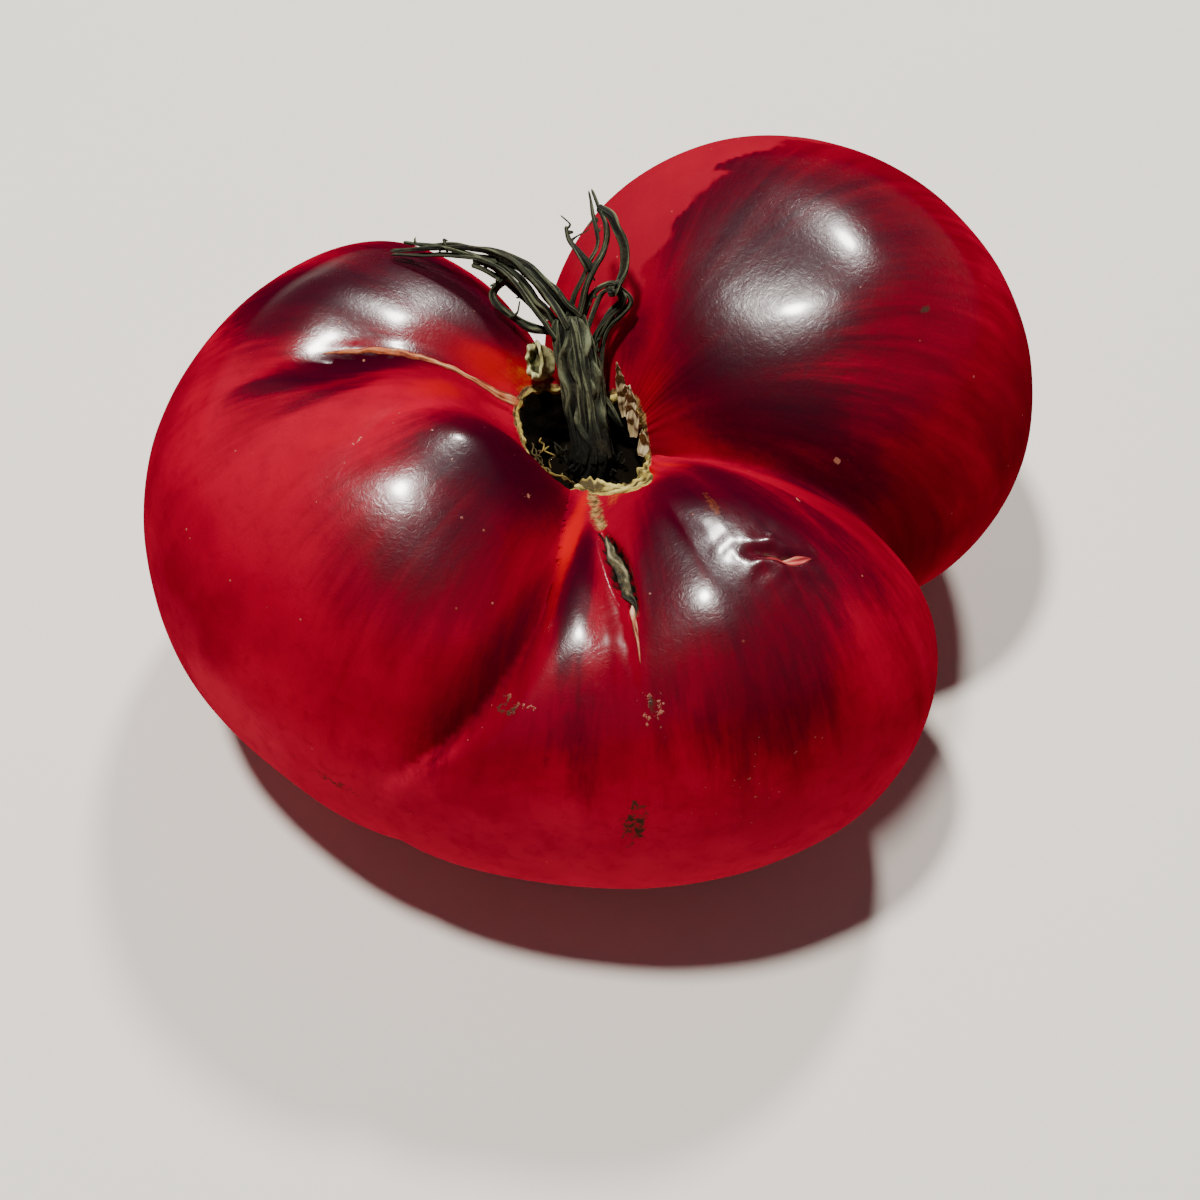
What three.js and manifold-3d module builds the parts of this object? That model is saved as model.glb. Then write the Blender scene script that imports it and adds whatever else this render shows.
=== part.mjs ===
// A large fused beefsteak tomato with its dried calyx, in millimetres, +Z up.
// Three lobes meet round a stem well in front, and a fourth, rounder lobe stands behind them on the right,
// with an open cleft between it and the left lobe. The fruit is one solid; the dried calyx stands in the
// well on a ribbed trunk, and the broken stalk end is a stub beside that trunk.

import * as THREE from "three";
import { mergeVertices } from "three/addons/utils/BufferGeometryUtils.js";
import Module from "manifold-3d";

const wasm = await Module();
wasm.setup();

// Where the stem axis stands in the part's frame, whose origin is under the middle of the whole tomato.
const STEM_AT = { x: -0.42, y: -3.6 };

// The lobed body, station by station round the stem: how far out it reaches, and where its crest runs.
const STATIONS = [
  { azimuth: 100, reach: 15, crestRadius: 9, crestHeight: 44 }, // foot of the back cleft
  { azimuth: 110, reach: 22, crestRadius: 12, crestHeight: 47 },
  { azimuth: 121, reach: 40, crestRadius: 21, crestHeight: 56 }, // flank of the cleft
  { azimuth: 134, reach: 53, crestRadius: 29, crestHeight: 61 },
  { azimuth: 152, reach: 60, crestRadius: 31, crestHeight: 63 },
  { azimuth: 175, reach: 63, crestRadius: 29, crestHeight: 65 }, // left lobe
  { azimuth: 198, reach: 61, crestRadius: 25, crestHeight: 68 },
  { azimuth: 220, reach: 56, crestRadius: 21, crestHeight: 68.5 }, // left front lobe
  { azimuth: 243, reach: 53, crestRadius: 21, crestHeight: 65 },
  { azimuth: 262, reach: 52, crestRadius: 23, crestHeight: 60 }, // saddle at the long furrow
  { azimuth: 280, reach: 53, crestRadius: 25, crestHeight: 62 },
  { azimuth: 296, reach: 54.5, crestRadius: 26, crestHeight: 64 }, // right front lobe
  { azimuth: 316, reach: 55.5, crestRadius: 27, crestHeight: 62 },
  { azimuth: 333, reach: 52, crestRadius: 25, crestHeight: 57 },
  { azimuth: 346, reach: 42, crestRadius: 19, crestHeight: 51 },
  { azimuth: 358, reach: 28, crestRadius: 13, crestHeight: 46 }, // where the back lobe takes over
  { azimuth: 375, reach: 16, crestRadius: 9, crestHeight: 42 },
  { azimuth: 430, reach: 14, crestRadius: 8, crestHeight: 40 },
];
const WIDEST_HEIGHT = 31; // height of the widest level of the lobed body
const BELOW_FLOOR = 2; // the rounded underside would reach this far down, and is cut flat at the floor
const ROUNDNESS = 2.15; // exponent of the lobes' cross section, 2 for an ellipse
const RIM = { radius: 8.6, height: 52 }; // where the lobes' inner slopes end at the stem well

// The rounder lobe at the back right: an ellipsoid turned about the vertical.
const BACK_LOBE = {
  x: 28.2,
  y: 24.1,
  height: 35,
  halfLength: 37.3,
  halfWidth: 33.6,
  up: 34.2,
  down: 34,
  turn: THREE.MathUtils.degToRad(-45),
};

// The core under the stem well, which the lobes grow from.
const CORE = { radius: 11.5, height: 45 };
const BLEND = 26; // how sharply lobes and core meet: a larger number is a sharper crease

// Furrows run out from the rim. Each bends through three azimuths, at the radii in FURROW_RADII.
const FURROW_RADII = [9, 27, 52];
const FURROWS = [
  { azimuths: [252, 261, 240], depth: 0.15, width: 5.0, fadeFrom: 44, fadeTo: 55 }, // the long front furrow
  { azimuths: [275, 276.5, 279], depth: 0.06, width: 3.5, fadeFrom: 30, fadeTo: 48 }, // under the front scar
  { azimuths: [157, 170.5, 178], depth: 0.07, width: 3.6, fadeFrom: 30, fadeTo: 50 }, // under the left scar
  { azimuths: [178, 203.5, 216], depth: 0.035, width: 7.0, fadeFrom: 32, fadeTo: 50 }, // shallow left valley
];
const FURROW_LOW = { from: 4, over: 26 }; // furrows fade in from this height over this rise

// The well in the middle of the top, where the calyx stands.
const WELL = { floorHeight: 44, floorRadius: 6.4, mouthRadius: 8.6 };

// The skin's grid: rays fan out from a ring inside the fruit.
const FAN = { x: 3, y: 3, height: 24, radius: 7.5, swing: 2, swingToward: THREE.MathUtils.degToRad(40) };
const SKIN_AROUND = 88;
const SKIN_RINGS = 31;
const WALL_RINGS = 3;
const FARTHEST = 90; // longer than any ray inside the fruit

const TURN = 2 * Math.PI;

/** Smooth step from 0 to 1, flat at both ends. */
function smooth(t) {
  const q = THREE.MathUtils.clamp(t, 0, 1);
  return q * q * (3 - 2 * q);
}

/** One value of the stations at an azimuth in degrees, along a smooth periodic curve through them. */
function stationValue(azimuth, key) {
  const count = STATIONS.length;
  const first = STATIONS[0].azimuth;
  const q = THREE.MathUtils.euclideanModulo(azimuth - first, 360) + first;
  const at = (i) => {
    const lap = Math.floor(i / count);
    const station = STATIONS[i - lap * count];
    return [station.azimuth + 360 * lap, station[key]];
  };
  let i = 0;
  while (at(i + 1)[0] <= q) {
    i += 1;
  }
  const [x0, y0] = at(i - 1);
  const [x1, y1] = at(i);
  const [x2, y2] = at(i + 1);
  const [x3, y3] = at(i + 2);
  const step = x2 - x1;
  const t = (q - x1) / step;
  const leave = ((y2 - y0) / (x2 - x0)) * step;
  const arrive = ((y3 - y1) / (x3 - x1)) * step;
  const t2 = t * t;
  const t3 = t2 * t;
  return (2 * t3 - 3 * t2 + 1) * y1 + (t3 - 2 * t2 + t) * leave + (3 * t2 - 2 * t3) * y2 + (t3 - t2) * arrive;
}

/** The three station values at an azimuth, with the inner slope's half width worked out from them. */
function lobeSection(azimuth) {
  const reach = stationValue(azimuth, "reach");
  const crestRadius = stationValue(azimuth, "crestRadius");
  const crestHeight = stationValue(azimuth, "crestHeight");
  const rise = crestHeight - WIDEST_HEIGHT;
  const rimRise = Math.min((RIM.height - WIDEST_HEIGHT) / rise, 0.9);
  const innerSpan = Math.max(crestRadius - RIM.radius, 0.5);
  const innerWidth = innerSpan / (1 - rimRise ** ROUNDNESS) ** (1 / ROUNDNESS);
  return { reach, crestRadius, rise, innerWidth };
}

/** How far a point is from the lobed body's middle, as a share of the way to its skin. */
function lobedBody(radius, height, section) {
  const above = height > WIDEST_HEIGHT;
  const spine = section.crestRadius * (above ? 1 : smooth(height / WIDEST_HEIGHT));
  let across = 0;
  if (radius > spine) {
    across = (radius - spine) / Math.max(section.reach - spine, 1);
  } else if (above) {
    across = (section.crestRadius - radius) / section.innerWidth;
  }
  const offset = height - WIDEST_HEIGHT;
  const upright = above ? offset / section.rise : -offset / (WIDEST_HEIGHT + BELOW_FLOOR);
  return (across ** ROUNDNESS + upright ** ROUNDNESS) ** (1 / ROUNDNESS);
}

/** The same share for the round back lobe. */
function backLobe(x, y, z) {
  const dx = x - BACK_LOBE.x;
  const dy = y - BACK_LOBE.y;
  const dz = z - BACK_LOBE.height;
  const along = dx * Math.cos(BACK_LOBE.turn) + dy * Math.sin(BACK_LOBE.turn);
  const across = dy * Math.cos(BACK_LOBE.turn) - dx * Math.sin(BACK_LOBE.turn);
  const tall = dz > 0 ? BACK_LOBE.up : BACK_LOBE.down;
  return Math.hypot(along / BACK_LOBE.halfLength, across / BACK_LOBE.halfWidth, dz / tall);
}

/** The same share for the core under the well. */
function core(radius, height) {
  return ((radius / CORE.radius) ** 4 + (Math.abs(height) / CORE.height) ** 4) ** 0.25;
}

/** A furrow's azimuth at a radius: the parabola through its three azimuths. */
function furrowAzimuth([a, b, c], radius) {
  const [r0, r1, r2] = FURROW_RADII;
  const r = THREE.MathUtils.clamp(radius, 6, 58);
  const wa = ((r - r1) * (r - r2)) / ((r0 - r1) * (r0 - r2));
  const wb = ((r - r0) * (r - r2)) / ((r1 - r0) * (r1 - r2));
  const wc = ((r - r0) * (r - r1)) / ((r2 - r0) * (r2 - r1));
  return a * wa + b * wb + c * wc;
}

/** How much the furrows push the skin in at a point, in the same shares. */
function furrowPress(radius, azimuth, height) {
  let press = 0;
  for (const { azimuths, depth, width, fadeFrom, fadeTo } of FURROWS) {
    const apart = THREE.MathUtils.euclideanModulo(azimuth - furrowAzimuth(azimuths, radius) + 180, 360) - 180;
    if (Math.abs(apart) < 90) {
      const side = radius * Math.sin(THREE.MathUtils.degToRad(apart));
      const fade = smooth((fadeTo - radius) / (fadeTo - fadeFrom));
      press += depth * fade * Math.exp(-Math.sqrt(side * side + 0.4) / width);
    }
  }
  return press * THREE.MathUtils.clamp((height - FURROW_LOW.from) / FURROW_LOW.over, 0, 1);
}

/** Below zero inside the fruit and above zero outside: body, back lobe and core, smoothly joined. */
function fruitField(x, y, z) {
  const radius = Math.hypot(x, y);
  const azimuth = THREE.MathUtils.radToDeg(Math.atan2(y, x));
  const shares = [
    lobedBody(radius, z, lobeSection(azimuth)) + furrowPress(radius, azimuth, z),
    backLobe(x, y, z),
    core(radius, z),
  ];
  const least = Math.min(...shares);
  const sum = shares.reduce((total, share) => total + Math.exp(-BLEND * (share - least)), 0);
  return least - Math.log(sum) / BLEND - 1;
}

/** The largest t up to a limit where the field changes sign along a path of points. */
function lastCrossing(pointAt, limit, step) {
  let outside = limit;
  while (outside > step && fruitField(...pointAt(outside - step)) > 0) {
    outside -= step;
  }
  let inside = outside - step;
  for (let i = 0; i < 16; i += 1) {
    const middle = (inside + outside) / 2;
    if (fruitField(...pointAt(middle)) < 0) {
      inside = middle;
    } else {
      outside = middle;
    }
  }
  return (inside + outside) / 2;
}

/** A column of skin points at one azimuth of the fan, from the well's mouth out, over and under. */
function skinColumn(angle) {
  const cos = Math.cos(angle);
  const sin = Math.sin(angle);
  const along = FAN.x * cos + FAN.y * sin;
  const mouth = -along + Math.sqrt(along * along - (FAN.x ** 2 + FAN.y ** 2 - WELL.mouthRadius ** 2));
  const mouthX = FAN.x + mouth * cos;
  const mouthY = FAN.y + mouth * sin;
  const mouthZ = lastCrossing((z) => [mouthX, mouthY, z], 80, 1);
  const start = FAN.radius - FAN.swing * Math.cos(angle - FAN.swingToward);
  const firstTilt = Math.atan2(mouth - start, mouthZ - FAN.height);
  const lastTilt = Math.PI + Math.atan(start / FAN.height);
  const column = [new THREE.Vector3(mouthX, mouthY, mouthZ)];
  for (let i = 1; i < SKIN_RINGS; i += 1) {
    const share = i / SKIN_RINGS;
    const tilt = firstTilt + (lastTilt - firstTilt) * (0.6 * share + 0.4 * share * share);
    const out = Math.sin(tilt);
    const up = Math.cos(tilt);
    const pointAt = (t) => [
      FAN.x + (start + t * out) * cos,
      FAN.y + (start + t * out) * sin,
      FAN.height + t * up,
    ];
    const toFloor = up < 0 ? -FAN.height / up : FARTHEST;
    const reach = lastCrossing(pointAt, Math.min(FARTHEST, toFloor), 2.5);
    column.push(new THREE.Vector3(...pointAt(reach)));
  }
  return column;
}

/** The well's rings under one mouth point: up its wall from the floor's edge. */
function wallColumn(mouthPoint) {
  const azimuth = Math.atan2(mouthPoint.y, mouthPoint.x);
  const column = [];
  for (let i = 0; i < WALL_RINGS; i += 1) {
    const share = i / WALL_RINGS;
    const radius = WELL.floorRadius + (WELL.mouthRadius - WELL.floorRadius) * share ** 1.5;
    const height = WELL.floorHeight + (mouthPoint.z - WELL.floorHeight) * share;
    column.push(new THREE.Vector3(radius * Math.cos(azimuth), radius * Math.sin(azimuth), height));
  }
  return column;
}

/** A closed skin over columns of points, with one point at each end. Columns turn counter-clockwise. */
function closedSkin(columns, firstPoint, lastPoint) {
  const around = columns.length;
  const rings = columns[0].length;
  const positions = [];
  for (const point of columns.flat()) {
    positions.push(point.x, point.y, point.z);
  }
  positions.push(...firstPoint.toArray(), ...lastPoint.toArray());
  const first = around * rings;
  const last = first + 1;
  const index = [];
  for (let j = 0; j < around; j += 1) {
    const here = j * rings;
    const next = ((j + 1) % around) * rings;
    index.push(first, here, next);
    for (let i = 0; i < rings - 1; i += 1) {
      index.push(here + i, here + i + 1, next + i + 1);
      index.push(here + i, next + i + 1, next + i);
    }
    index.push(last, next + rings - 1, here + rings - 1);
  }
  const geometry = new THREE.BufferGeometry();
  geometry.setAttribute("position", new THREE.Float32BufferAttribute(positions, 3));
  geometry.setIndex(index);
  return geometry;
}

/** The whole fruit: well floor, well wall, and the skin down to its flat spot on the floor. */
function fruitGeometry() {
  const columns = [];
  for (let j = 0; j < SKIN_AROUND; j += 1) {
    const skin = skinColumn((j / SKIN_AROUND) * TURN);
    columns.push([...wallColumn(skin[0]), ...skin]);
  }
  const wellFloor = new THREE.Vector3(0, 0, WELL.floorHeight);
  const flatSpot = new THREE.Vector3(FAN.x, FAN.y, 0);
  return closedSkin(columns, wellFloor, flatSpot);
}

// The calyx. Its trunk leans back over the cleft, and its sepals have dried to curled straps.
const TRUNK = {
  path: [
    [0, 0.9, 44.6],
    [0, 0.95, 46.2],
    [-0.2, 1.9, 48.2],
    [-0.8, 4.3, 51.2],
    [-1.6, 7.4, 55],
    [-2.4, 10.0, 58.3],
    [-3.2, 12.6, 61.5],
  ],
  radii: [4.2, 3.4, 3.0, 2.8, 2.8, 2.8, 2.3],
  ribs: 7,
  ribDepth: 0.16,
  sides: 28,
  segments: 10,
};

// Each strap follows its points from where it leaves its neighbour to its tip.
const STRAPS = [
  { // the heavy arm over the left lobe
    path: [[-3.0, 11.4, 60.3], [-6.3, 14.1, 63], [-10.6, 17.5, 65.6], [-16.4, 20.1, 65.4], [-27.1, 22.1, 63.3]],
    radii: [2.0, 2.0, 1.7, 1.1, 0.6],
  },
  { // its twin tip behind
    path: [[-12.4, 18.8, 65.8], [-18.3, 20.9, 65.8], [-21.7, 22.1, 64.9], [-25.5, 23.7, 64.1]],
    radii: [0.9, 0.8, 0.6, 0.5],
  },
  { // the loop under the arm
    path: [[-16.0, 18.9, 65.0], [-13.4, 17.7, 64.5], [-10.4, 16.0, 62.8], [-6.9, 13.7, 60.6], [-3.4, 11.6, 59.4]],
    radii: [0.7, 0.8, 1.0, 1.0, 1.0],
  },
  { // the hook that turns back to the trunk
    path: [[-10.9, 17.2, 64.2], [-13.2, 16.6, 62], [-12.2, 14.6, 60.6], [-8.1, 12.1, 59.4], [-3.9, 11.4, 58.6]],
    radii: [0.8, 0.8, 0.8, 0.9, 1.0],
  },
  { // the tall sepal behind, with the widest tip
    path: [[-2.9, 11.8, 60], [-1.0, 15.2, 65.3], [1.0, 18.3, 68], [1.0, 20.6, 70], [-0.3, 25.2, 72]],
    radii: [1.2, 1.0, 0.8, 1.0, 0.5],
  },
  { // its left fork
    path: [[-0.1, 16.0, 66.4], [-1.4, 16.9, 68], [-2.9, 18.9, 69], [-3.5, 20.6, 70]],
    radii: [0.8, 0.7, 0.6, 0.5],
  },
  { // the arc on its right
    path: [[0.6, 22.9, 71.2], [2.6, 21.2, 70.8], [4.3, 17.6, 68], [3.4, 14.7, 64.8], [1.9, 14.6, 64]],
    radii: [0.6, 0.7, 0.7, 0.7, 0.7],
  },
  { // middle rib that crosses to the knot
    path: [[-1.7, 8.6, 56.5], [-1.3, 11.8, 60.3], [0.5, 14.6, 63], [2.1, 15.3, 64.4], [3.8, 14.9, 64.8]],
    radii: [1.2, 1.2, 1.0, 0.9, 0.7],
  },
  { // right rib, bowed out beside the trunk
    path: [[0.6, 4.8, 50], [0.5, 9.2, 54.5], [1.2, 12.4, 58.6], [4.5, 14.2, 62.3], [3.4, 15.0, 64.6]],
    radii: [1.3, 1.2, 1.0, 1.1, 0.7],
  },
  { // short root on the right of the foot
    path: [[-0.2, 7.4, 54], [1.1, 6.6, 52], [2.6, 5.4, 50], [3.8, 4.4, 47.8]],
    radii: [1.0, 1.0, 0.9, 0.8],
  },
];
const STRAP_SIDES = 6;
const STRAP_STEP = 1.8; // length of strap between rings

// The stalk broke off short beside the trunk.
const STALK = {
  path: [
    [-6.8, 8.2, 54.9],
    [-7.4, 8.4, 56.7],
    [-8.0, 8.1, 58.4],
  ],
  radii: [1.2, 1.4, 1.5],
  sides: 12,
  segments: 6,
};

/** A value along evenly spaced samples. */
function sample(values, share) {
  const place = share * (values.length - 1);
  const i = Math.min(Math.floor(place), values.length - 2);
  return THREE.MathUtils.lerp(values[i], values[i + 1], place - i);
}

/** A closed tapering rod along a path; ribs raise its surface by a cosine round it. */
function rodGeometry({ path, radii, sides, segments, ribs = 0, ribDepth = 0 }) {
  const curve = new THREE.CatmullRomCurve3(path.map((p) => new THREE.Vector3(...p)));
  const frames = curve.computeFrenetFrames(segments, false);
  const columns = [];
  for (let j = 0; j < sides; j += 1) {
    const angle = (-j / sides) * TURN;
    const column = [];
    for (let i = 0; i <= segments; i += 1) {
      const radius = sample(radii, i / segments) * (1 + ribDepth * Math.cos(ribs * angle));
      const point = curve.getPointAt(i / segments);
      point.addScaledVector(frames.normals[i], radius * Math.cos(angle));
      point.addScaledVector(frames.binormals[i], radius * Math.sin(angle));
      column.push(point);
    }
    columns.push(column);
  }
  return closedSkin(columns, curve.getPoint(0), curve.getPoint(1));
}

/** The solid that a closed geometry bounds. */
function toSolid(geometry) {
  const merged = mergeVertices(geometry, 1e-5);
  return new wasm.Manifold(
    new wasm.Mesh({
      numProp: 3,
      vertProperties: new Float32Array(merged.getAttribute("position").array),
      triVerts: new Uint32Array(merged.getIndex().array),
    }),
  );
}

/** The geometry of a solid's skin. */
function toGeometry(solid) {
  const { vertProperties, triVerts } = solid.getMesh();
  const geometry = new THREE.BufferGeometry();
  geometry.setAttribute("position", new THREE.BufferAttribute(vertProperties, 3));
  geometry.setIndex(new THREE.BufferAttribute(triVerts, 1));
  return geometry;
}

/** The trunk with every strap fused to it. */
function calyxGeometry() {
  let calyx = toSolid(rodGeometry(TRUNK));
  for (const strap of STRAPS) {
    const points = strap.path.map((p) => new THREE.Vector3(...p));
    const length = new THREE.CatmullRomCurve3(points).getLength();
    const segments = Math.round(length / STRAP_STEP);
    calyx = calyx.add(toSolid(rodGeometry({ ...strap, sides: STRAP_SIDES, segments })));
  }
  return toGeometry(calyx);
}

/** A named piece in its finish, set at the stem. */
function piece(name, geometry, color, roughness) {
  geometry.computeVertexNormals();
  const mesh = new THREE.Mesh(geometry, new THREE.MeshStandardMaterial({ color, roughness, metalness: 0 }));
  mesh.name = name;
  mesh.position.set(STEM_AT.x, STEM_AT.y, 0);
  return mesh;
}

const tomato = new THREE.Group();
tomato.add(piece("fruit", fruitGeometry(), 0xa3121b, 0.25));
tomato.add(piece("calyx", calyxGeometry(), 0x3a3d2a, 0.85));
tomato.add(piece("stalk", rodGeometry(STALK), 0xb5b078, 0.8));

export default tomato;
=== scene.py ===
import logging
import math
from dataclasses import dataclass, field
from enum import Enum
from typing import Callable

import bpy
import numpy as np
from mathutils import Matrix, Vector


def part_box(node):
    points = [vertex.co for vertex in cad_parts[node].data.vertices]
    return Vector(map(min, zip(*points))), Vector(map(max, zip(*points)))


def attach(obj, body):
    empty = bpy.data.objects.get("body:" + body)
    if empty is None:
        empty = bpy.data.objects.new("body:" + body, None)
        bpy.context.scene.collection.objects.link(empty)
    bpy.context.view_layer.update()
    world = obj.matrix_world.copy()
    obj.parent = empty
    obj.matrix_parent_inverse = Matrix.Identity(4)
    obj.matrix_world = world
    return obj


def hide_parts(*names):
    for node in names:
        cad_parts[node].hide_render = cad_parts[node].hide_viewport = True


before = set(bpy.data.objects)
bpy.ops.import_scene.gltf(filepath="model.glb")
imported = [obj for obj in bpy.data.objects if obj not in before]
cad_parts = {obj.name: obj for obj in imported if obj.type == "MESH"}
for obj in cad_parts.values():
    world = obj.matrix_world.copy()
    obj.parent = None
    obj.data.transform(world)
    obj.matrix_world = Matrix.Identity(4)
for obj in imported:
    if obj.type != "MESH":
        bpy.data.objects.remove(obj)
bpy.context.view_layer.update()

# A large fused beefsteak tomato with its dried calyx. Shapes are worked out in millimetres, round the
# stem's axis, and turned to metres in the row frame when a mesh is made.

LOG = logging.getLogger("tomato")
Array = np.ndarray
Vec3 = tuple[float, float, float]
Colour = Vec3

MM = 0.001
STEM_AT = (-0.42, -3.6)
BODY = "root"
TAU = 2.0 * math.pi


class Slot(Enum):
    """The record's material slots."""

    SKIN = "skin"
    CALYX = "dried_calyx"
    STALK = "dried_stalk"
    CORK = "cork"


# Small rules on arrays


def smooth(t: Array | float) -> Array:
    """A step from 0 to 1 that is flat at both ends: 3t squared less 2t cubed, with t held to 0..1."""
    q = np.clip(t, 0.0, 1.0)
    return q * q * (3.0 - 2.0 * q)


def hump(x: Array, centre: float, width: float) -> Array:
    """A bell of height 1: e to the minus of the squared distance from centre, over width squared."""
    return np.exp(-(((x - centre) / width) ** 2))


def unit(v: Array) -> Array:
    """Vectors divided by their own length."""
    return v / np.maximum(np.linalg.norm(v, axis=-1, keepdims=True), 1e-12)


def turn_gap(a: Array, b: Array | float) -> Array:
    """The signed angle from b to a in degrees, the short way round."""
    return (a - b + 180.0) % 360.0 - 180.0


def polar(points: Array) -> tuple[Array, Array]:
    """Distances from the stem's axis, and azimuths in degrees."""
    return np.hypot(points[..., 0], points[..., 1]), np.degrees(np.arctan2(points[..., 1], points[..., 0]))


def once_round(count: int) -> Array:
    """Equal angles once round, in radians, from 0 on."""
    return np.arange(count) / count * TAU


def lengths(path: Array) -> Array:
    """How far along a path each of its points is: the running sum of the steps between them."""
    return np.concatenate([[0], np.linalg.norm(np.diff(path, axis=0), axis=1).cumsum()])


def grain(points: Array, size: float, seed: int, count: int = 14) -> Array:
    """Smooth random relief in space, about -1 to 1.

    The sum of cosine waves in random directions, with wavelengths near size.

    Args:
        points: Places in space, in the same units as size.
        size: The usual distance from crest to crest.
        seed: Seed of the waves' directions and phases.
        count: Number of waves.

    Returns:
        One value for each point.
    """
    rng = np.random.default_rng(seed)
    ways = unit(rng.normal(size=(count, 3)))
    pace = TAU / size * rng.uniform(0.6, 1.5, count)
    phase = rng.uniform(0.0, TAU, count)
    return np.cos(points @ (ways * pace[:, None]).T + phase).sum(-1) / math.sqrt(count)


def hermite(t: Array, start: Array, start_slope: Array, end: Array, end_slope: Array) -> Array:
    """The cubic that joins two values with given slopes.

    With t cubed and t squared: 2t3 - 3t2 + 1 of the start, t3 - 2t2 + t of its slope, 3t2 - 2t3 of the
    end and t3 - t2 of its slope.

    Args:
        t: Shares of the way, from 0 to 1.
        start: Values at share 0.
        start_slope: Slopes there, for each whole way.
        end: Values at share 1.
        end_slope: Slopes there.

    Returns:
        Values at the shares.
    """
    return (
        (2 * t**3 - 3 * t**2 + 1) * start
        + (t**3 - 2 * t**2 + t) * start_slope
        + (3 * t**2 - 2 * t**3) * end
        + (t**3 - t**2) * end_slope
    )


def spline(knots: Array, shares: Array) -> Array:
    """Points on a smooth curve through knots: cubic pieces, with each slope taken from its neighbours.

    Args:
        knots: Rows of values, evenly spaced along the curve.
        shares: Places along the curve, from 0 to 1.

    Returns:
        One row for each share.
    """
    last = len(knots) - 1
    place = np.clip(shares, 0.0, 1.0) * last
    i = np.minimum(place.astype(int), last - 1)
    slope = np.gradient(knots, axis=0)
    return hermite((place - i)[:, None], knots[i], slope[i], knots[i + 1], slope[i + 1])


def as_path(points: Array) -> tuple[Vec3, ...]:
    """Rows of points as the plain path that a rod takes."""
    return tuple(map(tuple, points))


# Meshes


def grid_quads(rows: int, columns: int, loop_rows: bool = False) -> Array:
    """Quads of a grid whose columns close on themselves, wound so that rows x columns points out.

    Args:
        rows: Number of rows of points.
        columns: Points in a row.
        loop_rows: True if the last row also joins the first.

    Returns:
        Four point numbers for each face.
    """
    i = np.arange(rows if loop_rows else rows - 1)[:, None]
    j = np.arange(columns)[None, :]
    down = (i + 1) % rows
    right = (j + 1) % columns
    faces = [i * columns + j, down * columns + j, down * columns + right, i * columns + right]
    return np.stack([np.broadcast_to(f, (len(i), columns)).ravel() for f in faces], -1)


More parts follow.
